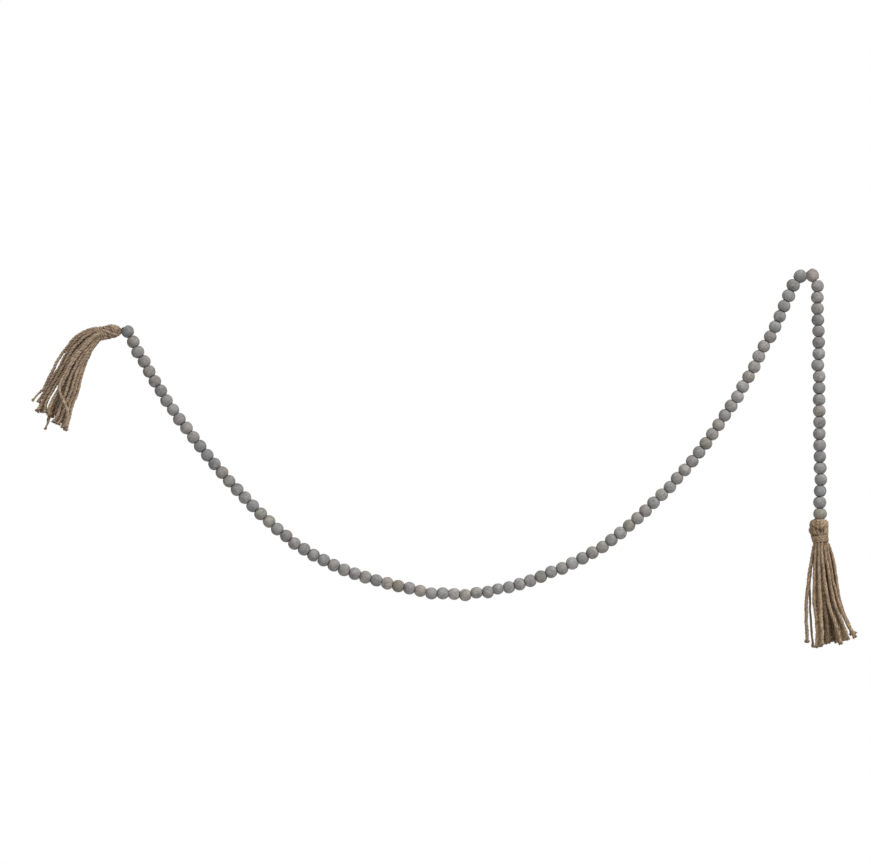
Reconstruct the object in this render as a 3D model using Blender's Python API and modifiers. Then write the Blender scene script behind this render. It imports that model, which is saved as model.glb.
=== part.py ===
"""Wood bead garland with two twine tassels, in the shape in which it hangs.

The garland hangs from two hook points. It lies in the XZ plane, with +Z up and the viewer on the
-Y side. The origin is the underside of the cord at the top of the right arch, where a hook bears.
"""

import math

import bmesh
import bpy
from mathutils import Vector

MM = 0.001
GAP = 0.3 * MM

# Beads: balls cut flat at both ends of the hole. Along the swag and the drop they are built in
# pairs, and the beads that turn at the hooks are single.
BEAD_RADIUS = 6.7 * MM
BEAD_HALF_LENGTH = 5.68 * MM
FACE_RADIUS = 3.5 * MM
FACE_CROWN = 0.15 * MM
HOLE_RADIUS = 1.2 * MM
BEAD_SIDES = 10
BEAD_BANDS = 4
SWAG_PITCH = 11.86 * MM
DROP_PITCH = 11.92 * MM
SWAG_PAIRS = 41
DROP_PAIRS = 10

# The cord that carries the beads.
CORD_RADIUS = 0.8 * MM

# The line of the swag, from the joint of the first two beads at the left hook to the right hook.
# Columns: x, z in millimetres.
SWAG_ROUTE = (
    (-711, -69),
    (-673, -135),
    (-617, -209),
    (-554, -273),
    (-491, -312),
    (-391, -338),
    (-313, -332),
    (-221, -293),
    (-142, -224),
    (-84, -148),
    (-33, -57),
    (-3, 15),
)

# How the string runs through the single beads and down the drop, as angles above +X.
FIRST_BEAD_ANGLE = math.radians(-54)
RISING_BEAD_ANGLE = math.radians(40)
FALLING_BEAD_ANGLE = math.radians(-52)
TURNING_BEAD_ANGLE = math.radians(-86)
DROP_ANGLE = math.radians(-89.5)

# The arch over the right hook: from bead to bead, and how the cord bears on the hook between.
ARCH_ACROSS = 13.7 * MM
ARCH_UP = 0.5 * MM
CORD_STUB = 0.5 * MM
CORD_CROWN = 0.3 * MM

# The loop of cord at the left hook, between the first bead and the tassel, from the bead's middle.
# Columns: x, z in millimetres.
LEFT_LOOP = (
    (-7.6, 5.4),
    (-6.8, 6.3),
    (-5.7, 6.8),
    (-4.6, 6.4),
)

# Tassel heads: nine lengths of twine folded over, tied at the neck, with a skirt below the tie.
LOBES = 9
LOBE_HEIGHT = 0.45 * MM
NECK_RADIUS = 5.4 * MM
BINDING_TOP = 15.6 * MM
BINDING_LENGTH = 9.6 * MM

# The heads and the skirt. Columns: distance down from the top, radius, in millimetres.
RIGHT_HEAD = (
    (0.0, 3.6),
    (0.6, 6.4),
    (2.4, 9.2),
    (6.5, 9.8),
    (11.0, 9.5),
    (14.2, 8.0),
)
LEFT_HEAD = (
    (0.0, 2.6),
    (1.2, 3.8),
    (4.0, 5.6),
    (7.5, 7.4),
    (11.5, 8.3),
    (14.2, 7.4),
)
SKIRT = (
    (26.2, 7.6),
    (28.6, 9.2),
)
SKIRT_END = SKIRT[-1][0] * MM
LEFT_HEAD_ANGLE = math.radians(189.7)
LEFT_SEAT_ANGLE = math.radians(171)
LEFT_SEAT = BEAD_RADIUS + 0.7 * MM

# The tie: turns of twine round the neck, as one ridged ring.
BINDING_TURNS = 3
BINDING_RADIUS = 8.8 * MM
BINDING_SIDES = 14

# One turn of the tie. Columns: share of the turn's width, inset in millimetres.
TURN_OUTLINE = (
    (0.0, 1.1),
    (0.25, 0.15),
    (0.75, 0.0),
)
BINDING_EDGE_INSET = 1.6 * MM

# Strands. The root is set by a ring (1 outer, 0.5 inner) and an angle round the neck: 0 is the
# side away from the beads' swag, 90 the back and 270 the front. The middle and the cut end are
# measured from the top of the head.
STRAND_RADIUS = 1.75 * MM
STRAND_STEPS = 8
ROOT_RING = 7.7 * MM
ROOT_DEPTH = 1.9 * MM

# Columns: ring, angle in degrees, middle x, y, z, end x, y, z in millimetres.
RIGHT_STRANDS = (
    (1.0, 195, -14, -4, -79.5, -14.5, -2, -128.5),
    (1.0, 165, -10.5, 3.5, -80.5, -8, 4.5, -133),
    (1.0, 225, -6, -8, -79.5, -3.5, -8, -133.5),
    (1.0, 255, -1, -11.5, -79.5, 1.5, -13, -133),
    (1.0, 285, 5.5, -11.5, -79.5, 22, -14, -129),
    (1.0, 315, 11, -8, -78.5, 28.5, -9, -125),
    (1.0, 345, 15.5, -3, -77.5, 35, -3, -123),
    (1.0, 15, 19.5, 2.5, -76.5, 38, 3, -119),
    (1.0, 45, 14.5, 8, -78.5, 26.5, 10, -126),
    (1.0, 75, 8, 11.5, -78.5, 18, 14.5, -128),
    (1.0, 105, 1.5, 11.5, -79.5, 8.5, 15, -128),
    (1.0, 135, -4.5, 8.5, -80.5, 0, 11.5, -132),
    (0.5, 0, 10.5, 1, -78.5, 24, 1, -126.5),
    (0.5, 60, 6, 5, -78.5, 15.5, 7.5, -127.5),
    (0.5, 120, 0.5, 5, -79.5, 6.5, 6, -128.5),
    (0.5, 180, -4, 0.5, -80.5, -1, 0.8, -133),
    (0.5, 240, 0.5, -5, -80, 6.5, -4.5, -128.5),
    (0.5, 300, 5.5, -4.5, -79.5, 14, -5, -127.5),
)
LEFT_STRANDS = (
    (1.0, 345, -60.5, -2, -29, -91, -2, -73.5),
    (1.0, 15, -57.5, 3, -30, -84, 3.5, -75),
    (1.0, 315, -55, -7, -33.5, -85.5, -8, -84),
    (1.0, 285, -51.5, -11, -37, -79.5, -13, -86),
    (1.0, 255, -47.5, -11.5, -40.5, -76.5, -14, -101.5),
    (1.0, 225, -43, -8.5, -41.5, -68, -10.5, -98),
    (1.0, 195, -40, -3.6, -43, -59.5, -4.5, -100),
    (1.0, 165, -39, 2.6, -42.5, -54.5, 2.6, -102),
    (1.0, 135, -41, 8, -39.5, -57, 9.5, -104),
    (1.0, 105, -45.5, 11.5, -37, -63.5, 14, -96),
    (1.0, 75, -51, 11.5, -34, -71, 14.5, -88),
    (1.0, 45, -55, 8, -31, -77, 10.5, -85),
    (0.5, 0, -52.5, 1, -34, -80, 1.5, -84.5),
    (0.5, 60, -50, 5.5, -35, -72.5, 6, -87),
    (0.5, 120, -45.5, 5, -38.5, -64.5, 5.5, -93.5),
    (0.5, 180, -43.5, 0.5, -40.5, -61.5, 1, -98.5),
    (0.5, 240, -47, -5, -40, -68, -4.5, -94),
    (0.5, 300, -51, -5, -36.5, -73.5, -6, -89.5),
)

# How a strand leaves the skirt: along the head's direction, how much further on the outer side,
# and how far outward from the middle.
RIGHT_LEAD = (20.0 * MM, 0.0, 4.5 * MM)
LEFT_LEAD = (9.5 * MM, 6.0 * MM, 0.0)

PAINTED_WOOD = {"name": "grey_wood", "color": (0.33, 0.33, 0.315, 1.0), "roughness": 0.75}
TWINE = {"name": "jute_twine", "color": (0.30, 0.235, 0.17, 1.0), "roughness": 0.9}
STRING = {"name": "string", "color": (0.22, 0.18, 0.14, 1.0), "roughness": 0.85}


def clear_scene():
    """Removes what a new file starts with."""
    for obj in list(bpy.data.objects):
        bpy.data.objects.remove(obj, do_unlink=True)


def new_collection(name):
    """Adds a collection to the scene."""
    collection = bpy.data.collections.new(name)
    bpy.context.scene.collection.children.link(collection)
    return collection


def new_material(spec):
    """Makes a Principled material from a name, a colour and a roughness."""
    material = bpy.data.materials.new(spec["name"])
    material.use_nodes = True
    shader = material.node_tree.nodes["Principled BSDF"]
    shader.inputs["Base Color"].default_value = spec["color"]
    shader.inputs["Roughness"].default_value = spec["roughness"]
    shader.inputs["Metallic"].default_value = 0.0
    return material


def heading(angle):
    """Gives the unit direction at an angle above +X in the plane of the garland."""
    return Vector((math.cos(angle), 0.0, math.sin(angle)))


def smooth_line(points, steps):
    """Reads a Catmull-Rom curve through points, with a number of steps between each two."""
    before = 2 * points[0] - points[1]
    after = 2 * points[-1] - points[-2]
    knots = [before] + list(points) + [after]
    line = []
    for i in range(1, len(knots) - 2):
        p0, p1, p2, p3 = knots[i - 1:i + 3]
        for k in range(steps):
            t = k / steps
            slope = (p2 - p0) * t
            curve = (2 * p0 - 5 * p1 + 4 * p2 - p3) * t * t
            twist = (3 * p1 - p0 - 3 * p2 + p3) * t ** 3
            line.append(0.5 * (2 * p1 + slope + curve + twist))
    line.append(points[-1].copy())
    return line


def walk(line, step, count):
    """Steps along a line in equal chords, and gives the points that it lands on."""
    points = [line[0].copy()]
    index = 1
    for _ in range(count):
        here = points[-1]
        while (line[index] - here).length < step:
            index += 1
        low, high = 0.0, 1.0
        for _ in range(30):
            middle = 0.5 * (low + high)
            if (line[index - 1].lerp(line[index], middle) - here).length < step:
                low = middle
            else:
                high = middle
        points.append(line[index - 1].lerp(line[index], low))
    return points


def face_clearance(bend):
    """Gives how far a bead's face stays from the point where the string bends beside it."""
    return GAP / 2 + FACE_RADIUS * math.tan(abs(bend) / 2)


def bead_outline(count):
    """Gives the closed outline of one bead, or of two end to end, as (radius, height) points."""
    rim = BEAD_HALF_LENGTH - FACE_CROWN
    inset = (FACE_RADIUS ** 2 + rim ** 2 - BEAD_RADIUS ** 2) / (2 * (FACE_RADIUS - BEAD_RADIUS))
    arc = BEAD_RADIUS - inset
    limit = math.atan2(rim, FACE_RADIUS - inset)
    top = (count - 1) * SWAG_PITCH / 2
    outline = [(FACE_RADIUS, top + rim)]
    for bead in range(count):
        middle = top - bead * SWAG_PITCH
        for band in range(1, BEAD_BANDS):
            angle = limit * (1 - 2 * band / BEAD_BANDS)
            outline.append((inset + arc * math.cos(angle), middle + arc * math.sin(angle)))
        if bead < count - 1:
            outline.append((FACE_RADIUS, middle - SWAG_PITCH / 2))
    end = top + BEAD_HALF_LENGTH
    outline += [(FACE_RADIUS, -top - rim), (HOLE_RADIUS, -end), (HOLE_RADIUS, end)]
    return outline


def outline_mesh(name, outline, material, closed=True):
    """Makes a line of edges in the XZ plane from (radius, height) points."""
    mesh = bpy.data.meshes.new(name)
    points = [(radius, 0.0, height) for radius, height in outline]
    edges = [(i, i + 1) for i in range(len(points) - 1)]
    if closed:
        edges.append((len(points) - 1, 0))
    mesh.from_pydata(points, edges, [])
    mesh.materials.append(material)
    return mesh


def add_turned(name, mesh, sides, place, direction, collection):
    """Adds an object that turns an outline about its Z axis, which lies along a direction."""
    obj = bpy.data.objects.new(name, mesh)
    collection.objects.link(obj)
    obj.location = place
    obj.rotation_euler = (0.0, math.atan2(direction.x, direction.z), 0.0)
    screw = obj.modifiers.new("turned", "SCREW")
    screw.steps = sides
    screw.render_steps = sides
    screw.use_merge_vertices = True
    screw.merge_threshold = 0.01 * MM
    screw.use_smooth_shade = True
    return obj


def garland_layout():
    """Works out each bead's place, as (first number, count, middle, direction), and the cord."""
    knots = [Vector((x * MM, 0.0, z * MM)) for x, z in SWAG_ROUTE]
    joints = walk(smooth_line(knots, 40), 2 * SWAG_PITCH, SWAG_PAIRS)
    first_way = (joints[1] - joints[0]).normalized()
    last_way = (joints[-1] - joints[-2]).normalized()
    half_rest = SWAG_PITCH / 2 - BEAD_HALF_LENGTH

    # The bead at the left hook, and the cord's loop beside it.
    way = heading(FIRST_BEAD_ANGLE)
    clear = face_clearance(way.angle(first_way))
    bend = joints[0] - first_way * max(clear - half_rest, 0.0)
    middle = bend - way * (clear + BEAD_HALF_LENGTH)
    beads = [(1, 1, middle, way)]
    cord = [middle + Vector((x * MM, 0.0, z * MM)) for x, z in LEFT_LOOP]
    cord += [middle - way * BEAD_HALF_LENGTH, bend]

    # The pairs of the swag.
    for i in range(SWAG_PAIRS):
        start, end = joints[i], joints[i + 1]
        beads.append((2 + 2 * i, 2, (start + end) / 2, (end - start).normalized()))
    cord += joints[1:-1]

    # The bead that rises to the right hook, and the one that falls from it.
    way = heading(RISING_BEAD_ANGLE)
    clear = face_clearance(way.angle(last_way))
    bend = joints[-1] + last_way * max(clear - half_rest, 0.0)
    middle = bend + way * (clear + BEAD_HALF_LENGTH)
    beads.append((2 + 2 * SWAG_PAIRS, 1, middle, way))
    rise = middle + way * (BEAD_HALF_LENGTH + CORD_STUB)
    cord += [bend, rise]

    way = heading(FALLING_BEAD_ANGLE)
    middle = middle + Vector((ARCH_ACROSS, 0.0, ARCH_UP))
    beads.append((3 + 2 * SWAG_PAIRS, 1, middle, way))
    fall = middle - way * (BEAD_HALF_LENGTH + CORD_STUB)
    crown = rise.lerp(fall, 0.5) + Vector((0.0, 0.0, CORD_CROWN))
    cord += [crown, fall]

    # The bead that turns down, and the drop, hanging straight.
    down = heading(DROP_ANGLE)
    turn = heading(TURNING_BEAD_ANGLE)
    clear = face_clearance(turn.angle(way))
    bend = middle + way * (BEAD_HALF_LENGTH + clear)
    middle = bend + turn * (clear + BEAD_HALF_LENGTH)
    beads.append((4 + 2 * SWAG_PAIRS, 1, middle, turn))
    cord.append(bend)
    clear = face_clearance(down.angle(turn))
    bend = middle + turn * (BEAD_HALF_LENGTH + clear)
    middle = bend + down * (clear + BEAD_HALF_LENGTH + SWAG_PITCH / 2)
    for i in range(DROP_PAIRS):
        beads.append((5 + 2 * SWAG_PAIRS + 2 * i, 2, middle.copy(), down))
        middle += down * 2 * DROP_PITCH
    end = beads[-1][2] + down * (SWAG_PITCH / 2 + BEAD_HALF_LENGTH)
    cord += [bend, end]

    # Everything slides until the cord's underside at the hook is the origin.
    slide = Vector((-crown.x, 0.0, CORD_RADIUS - crown.z))
    beads = [(number, count, middle + slide, way) for number, count, middle, way in beads]
    return beads, [point + slide for point in cord]


def tube_object(name, lines, radius, resolution, material, collection):
    """Adds one curve object with a tube along each line of points."""
    curve = bpy.data.curves.new(name, "CURVE")
    curve.dimensions = "3D"
    curve.bevel_depth = radius
    curve.bevel_resolution = resolution
    curve.use_fill_caps = True
    curve.materials.append(material)
    for points in lines:
        spline = curve.splines.new("POLY")
        spline.points.add(len(points) - 1)
        for target, point in zip(spline.points, points):
            target.co = (point.x, point.y, point.z, 1.0)
    obj = bpy.data.objects.new(name, curve)
    collection.objects.link(obj)
    return obj


def to_mesh_object(obj, name, collection):
    """Replaces an object by a plain mesh of its evaluated shape, with its loose caps welded."""
    bpy.context.view_layer.update()
    depsgraph = bpy.context.evaluated_depsgraph_get()
    mesh = bpy.data.meshes.new_from_object(obj.evaluated_get(depsgraph))
    work = bmesh.new()
    work.from_mesh(mesh)
    bmesh.ops.remove_doubles(work, verts=work.verts, dist=0.01 * MM)
    bmesh.ops.recalc_face_normals(work, faces=work.faces)
    work.to_mesh(mesh)
    work.free()
    solid = bpy.data.objects.new(name, mesh)
    collection.objects.link(solid)
    solid.matrix_world = obj.matrix_world.copy()
    bpy.data.objects.remove(obj, do_unlink=True)
    return solid


def strand_line(row, top, axis, lead, outward):
    """Gives the points of one strand, a Bezier curve from its root, by its middle, to its end."""
    ring, angle, mid_x, mid_y, mid_z, end_x, end_y, end_z = row
    across = ring * math.cos(math.radians(angle))
    back = ring * math.sin(math.radians(angle))
    out = Vector((-axis.z, 0.0, axis.x)) * outward * across + Vector((0.0, back, 0.0))
    root = top + axis * SKIRT_END + out * ROOT_RING
    leave = root + axis * (lead[0] + lead[1] * across) + out * lead[2]
    middle = top + Vector((mid_x, mid_y, mid_z)) * MM
    end = top + Vector((end_x, end_y, end_z)) * MM
    arrive = (8 * middle - root - 3 * leave - end) / 3
    points = [root - axis * ROOT_DEPTH]
    for k in range(STRAND_STEPS + 1):
        t = k / STRAND_STEPS
        s = 1.0 - t
        near = s ** 3 * root + 3 * s * s * t * leave
        points.append(near + 3 * s * t * t * arrive + t ** 3 * end)
    return points


def add_tassel(side, top, axis, head_rows, strand_rows, lead, material, places):
    """Adds one tassel: a lobed head with its strands fused into its skirt."""
    rows = [(radius * MM, -down * MM) for down, radius in head_rows]
    rows += [(NECK_RADIUS, -(BINDING_TOP - GAP))]
    rows += [(NECK_RADIUS, -(BINDING_TOP + BINDING_LENGTH + GAP))]
    rows += [(radius * MM, -down * MM) for down, radius in SKIRT]
    outline = [(0.0, rows[0][1])] + rows + [(0.0, rows[-1][1])]
    mesh = outline_mesh("head_outline", outline, material, closed=False)
    head = add_turned("head_outline", mesh, 2 * LOBES, top, -axis, places["parts"])
    head = to_mesh_object(head, "tassel_" + side, places["parts"])

    # Every second line of the knob stands out, as the folded lengths do.
    for vertex in head.data.vertices:
        radius = math.hypot(vertex.co.x, vertex.co.y)
        if radius < FACE_RADIUS or vertex.co.z < -BINDING_TOP + 2 * GAP:
            continue
        line = round(math.atan2(vertex.co.y, vertex.co.x) * LOBES / math.pi)
        lift = LOBE_HEIGHT if line % 2 else -LOBE_HEIGHT
        vertex.co.x *= (radius + lift) / radius
        vertex.co.y *= (radius + lift) / radius
    head.data.shade_smooth()
    head.data.set_sharp_from_angle(angle=math.radians(40))

    outward = 1.0 if side == "right" else -1.0
    lines = [strand_line(row, top, axis, lead, outward) for row in strand_rows]
    strands = tube_object("strands", lines, STRAND_RADIUS, 0, material, places["cutters"])
    strands = to_mesh_object(strands, "strands_" + side, places["cutters"])
    strands.hide_render = True
    strands.display_type = "WIRE"
    union = head.modifiers.new("strands", "BOOLEAN")
    union.operation = "UNION"
    union.object = strands


def add_binding(side, top, axis, material, collection):
    """Adds the turns of twine round a tassel's neck."""
    turn_length = BINDING_LENGTH / BINDING_TURNS
    bottom = -(BINDING_TOP + BINDING_LENGTH)
    inner = NECK_RADIUS + GAP * 1.2
    outline = []
    for turn in range(BINDING_TURNS):
        start = BINDING_TOP + turn * turn_length
        for share, inset in TURN_OUTLINE:
            outline.append((BINDING_RADIUS - inset * MM, -(start + share * turn_length)))
    outline[0] = (BINDING_RADIUS - BINDING_EDGE_INSET, -BINDING_TOP)
    outline.append((BINDING_RADIUS - BINDING_EDGE_INSET, bottom))
    outline += [(inner, bottom), (inner, -BINDING_TOP)]
    mesh = outline_mesh("binding_outline", outline, material)
    add_turned("binding_" + side, mesh, BINDING_SIDES, top, -axis, collection)


def main():
    """Builds the garland."""
    clear_scene()
    places = {
        "parts": new_collection("wood_bead_garland"),
        "cutters": new_collection("cutters"),
    }
    wood = new_material(PAINTED_WOOD)
    twine = new_material(TWINE)
    string = new_material(STRING)
    beads, cord = garland_layout()

    single = outline_mesh("bead_outline", bead_outline(1), wood)
    pair = outline_mesh("bead_pair_outline", bead_outline(2), wood)
    for number, count, middle, way in beads:
        if count == 1:
            name = "bead_%03d" % number
            add_turned(name, single, BEAD_SIDES, middle, way, places["parts"])
        else:
            name = "beads_%03d_%03d" % (number, number + 1)
            add_turned(name, pair, BEAD_SIDES, middle, way, places["parts"])
    tube_object("cord", [cord], CORD_RADIUS, 2, string, places["parts"])

    drop = heading(DROP_ANGLE)
    right_top = cord[-1] + drop * GAP
    add_tassel("right", right_top, drop, RIGHT_HEAD, RIGHT_STRANDS, RIGHT_LEAD, twine, places)
    add_binding("right", right_top, drop, twine, places["parts"])

    lean = heading(LEFT_HEAD_ANGLE)
    left_top = beads[0][2] + heading(LEFT_SEAT_ANGLE) * LEFT_SEAT
    add_tassel("left", left_top, lean, LEFT_HEAD, LEFT_STRANDS, LEFT_LEAD, twine, places)
    add_binding("left", left_top, lean, twine, places["parts"])


main()
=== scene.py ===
import math

import bpy
import numpy as np
from mathutils import Euler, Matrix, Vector


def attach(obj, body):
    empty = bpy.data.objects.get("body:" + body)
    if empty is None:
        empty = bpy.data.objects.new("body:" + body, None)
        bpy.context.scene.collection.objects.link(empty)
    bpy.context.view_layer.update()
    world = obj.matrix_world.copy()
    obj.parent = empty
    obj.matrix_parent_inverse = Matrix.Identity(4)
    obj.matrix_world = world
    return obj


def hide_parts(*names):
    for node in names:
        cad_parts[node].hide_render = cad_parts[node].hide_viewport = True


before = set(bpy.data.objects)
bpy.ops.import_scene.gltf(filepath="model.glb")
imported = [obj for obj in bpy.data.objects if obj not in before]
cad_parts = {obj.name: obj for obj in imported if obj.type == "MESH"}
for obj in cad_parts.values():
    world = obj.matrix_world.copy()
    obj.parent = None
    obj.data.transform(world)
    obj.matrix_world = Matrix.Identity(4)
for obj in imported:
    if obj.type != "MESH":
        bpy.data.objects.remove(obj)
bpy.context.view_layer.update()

MM = 0.001
GAP = 0.3 * MM

# The garland's layout
# The same named sizes as in the part's source, so that each piece lies where its solid is.

BEAD_RADIUS = 6.7 * MM
BEAD_HALF_LENGTH = 5.68 * MM
FACE_RADIUS = 3.5 * MM
SWAG_PITCH = 11.86 * MM
DROP_PITCH = 11.92 * MM
SWAG_PAIRS = 41
DROP_PAIRS = 10
BEAD_COUNT = 4 + 2 * (SWAG_PAIRS + DROP_PAIRS)
CORD_RADIUS = 0.8 * MM

# The line of the swag. Columns: x, z in millimetres.
SWAG_ROUTE = (
    (-711, -69), (-673, -135), (-617, -209), (-554, -273), (-491, -312), (-391, -338), (-313, -332),
    (-221, -293), (-142, -224), (-84, -148), (-33, -57), (-3, 15),
)

FIRST_BEAD_ANGLE = math.radians(-54)
RISING_BEAD_ANGLE = math.radians(40)
FALLING_BEAD_ANGLE = math.radians(-52)
TURNING_BEAD_ANGLE = math.radians(-86)
DROP_ANGLE = math.radians(-89.5)
ARCH_ACROSS = 13.7 * MM
ARCH_UP = 0.5 * MM
CORD_STUB = 0.5 * MM
CORD_CROWN = 0.3 * MM

# The loop of cord at the left hook, from the first bead's middle. Columns: x, z in millimetres.
LEFT_LOOP = ((-7.6, 5.4), (-6.8, 6.3), (-5.7, 6.8), (-4.6, 6.4))

BINDING_TOP = 15.6 * MM
BINDING_LENGTH = 9.6 * MM
BINDING_TURNS = 3
LEFT_HEAD_ANGLE = math.radians(189.7)
LEFT_SEAT_ANGLE = math.radians(171)
LEFT_SEAT = BEAD_RADIUS + 0.7 * MM

# The tassels' strands

# The right tassel's strands: how far back the middle and the cut end lie, radius, lightness, and
# the points that a strand passes as (across, down). All sizes are in millimetres from the head's top.
# The lightness is partly the twine's own tone and partly painted shade, lower on the strands that lie
# further back.
RIGHT_ROUTES = (
    (-4, -2, 2.1, 0.52, (
        (-5.6, 26), (-7.2, 33), (-8.9, 42), (-11, 55), (-12.9, 70), (-14.1, 82), (-14.8, 96),
        (-14.3, 111), (-13.7, 128.5),
    )),
    (3.5, 4.5, 1.35, 0.42, (
        (-5.2, 28), (-8.1, 42), (-10.2, 56), (-11, 70), (-10.9, 82), (-10.4, 96), (-9.6, 111),
        (-8.1, 126), (-8.1, 133.5),
    )),
    (-7.5, -8, 2, 0.5, (
        (-4.3, 28), (-5.5, 45), (-6, 60), (-6.4, 75), (-6.2, 90), (-4.2, 104), (-3.1, 119),
        (-4.2, 133.5),
    )),
    (-11, -13, 2, 0.55, (
        (-1.5, 30), (-1.1, 50), (-1, 65), (0, 80), (0.6, 95), (1.5, 110), (2, 121), (1.9, 131),
    )),
    (-11.5, -14, 2, 0.54, (
        (1.6, 30), (2.2, 41), (3.6, 55), (5.6, 70), (8.2, 85), (11.6, 97.5), (16.2, 110), (20.2, 123),
        (21.6, 129.5),
    )),
    (-8.5, -9, 2, 0.52, (
        (4.6, 30), (6.1, 41), (8.7, 55), (11.2, 70), (13.7, 83), (17.8, 95.5), (22.6, 107.5),
        (27.4, 119), (28.8, 125.5),
    )),
    (-3.5, -4, 1.95, 0.5, (
        (7.4, 30), (9.4, 41), (12.4, 60), (15.4, 73), (18.6, 85.5), (23.2, 97.5), (27.9, 108.5),
        (32.8, 117.5), (36.4, 123.3),
    )),
    (2, 3, 1.95, 0.48, (
        (8.8, 27), (12, 36), (15.2, 50), (17.2, 65), (19.5, 80), (22.1, 93.5), (26.4, 104.5),
        (31.6, 114.3), (36.2, 119.8),
    )),
    (2, 3, 2.15, 0.42, ((-3.4, 28), (-3.5, 60), (-3.4, 80), (-2, 100), (-0.8, 118), (-0.4, 132))),
    (8, 10, 2.3, 0.38, ((0.3, 28), (1.2, 60), (2.9, 80), (4.1, 100), (4.7, 118), (5, 130))),
    (11.5, 14, 2.3, 0.36, ((2.5, 28), (4, 60), (6.4, 80), (8.8, 100), (10.6, 118), (11, 127.5))),
    (11, 13.5, 2.3, 0.37, ((4.4, 28), (6.9, 60), (9.4, 80), (11.9, 100), (13.9, 118), (14.5, 127))),
    (7, 8, 2.3, 0.4, ((6.2, 28), (9.6, 60), (12.4, 80), (15.2, 100), (17.1, 118), (17.5, 128))),
    (1.5, 1.5, 2.25, 0.43, ((7.4, 28), (11.6, 60), (15.6, 80), (20.2, 100), (24.3, 117), (25.5, 126))),
    (6, 7, 1.95, 0.46, ((8.2, 28), (14.2, 60), (18.6, 80), (25.4, 100), (31, 113), (33.4, 121))),
    (5.5, 6.5, 2.1, 0.42, (
        (-5, 28), (-5.6, 60), (-5.3, 85), (-3.2, 105), (-2.2, 120), (-2, 132.8),
    )),
    (1, 0, 2.1, 0.4, ((-0.2, 28), (1, 50), (2.6, 70), (4.6, 90), (7.1, 110), (8, 129))),
    (-4, -5.5, 2.15, 0.46, ((5.8, 28), (8.9, 55), (12.4, 80), (16.8, 100), (20.6, 115), (21.6, 126.5))),
)

# Where a strand starts inside the tie. Columns: shares of its first point's shift to the side and of
# how far back its middle lies, height in millimetres.
RIGHT_ROOTS = ((0.5, 0.42, -17.5), (0.62, 0.46, -21.5), (0.86, 0.54, -25.2))

# The outer and inner edges of the left tassel, from the tie to past the cut ends.
# Columns: outer x, z, inner x, z in millimetres from the head's top.
LEFT_EDGES = (
    (-24.9, 3.8, -22.2, -12.2), (-33.3, 1.3, -28, -21.2), (-41.7, -3.5, -31.5, -29.5),
    (-51.1, -11.1, -35.1, -37.3), (-58.3, -19.3, -37.2, -44.3), (-64, -26.8, -39.8, -53),
    (-68.8, -35, -42, -61.7), (-73.4, -44.4, -44.6, -69.6), (-77.4, -53.7, -48.1, -76.5),
    (-81.1, -62.7, -50.7, -84.4), (-85.2, -71.6, -52.4, -93.1), (-88.9, -80, -54.2, -101),
    (-92.6, -88.4, -55.7, -108.8),
)

# The row of these edges at which most strands are cut, counted from 0.
CUT_ROW = 11
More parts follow.
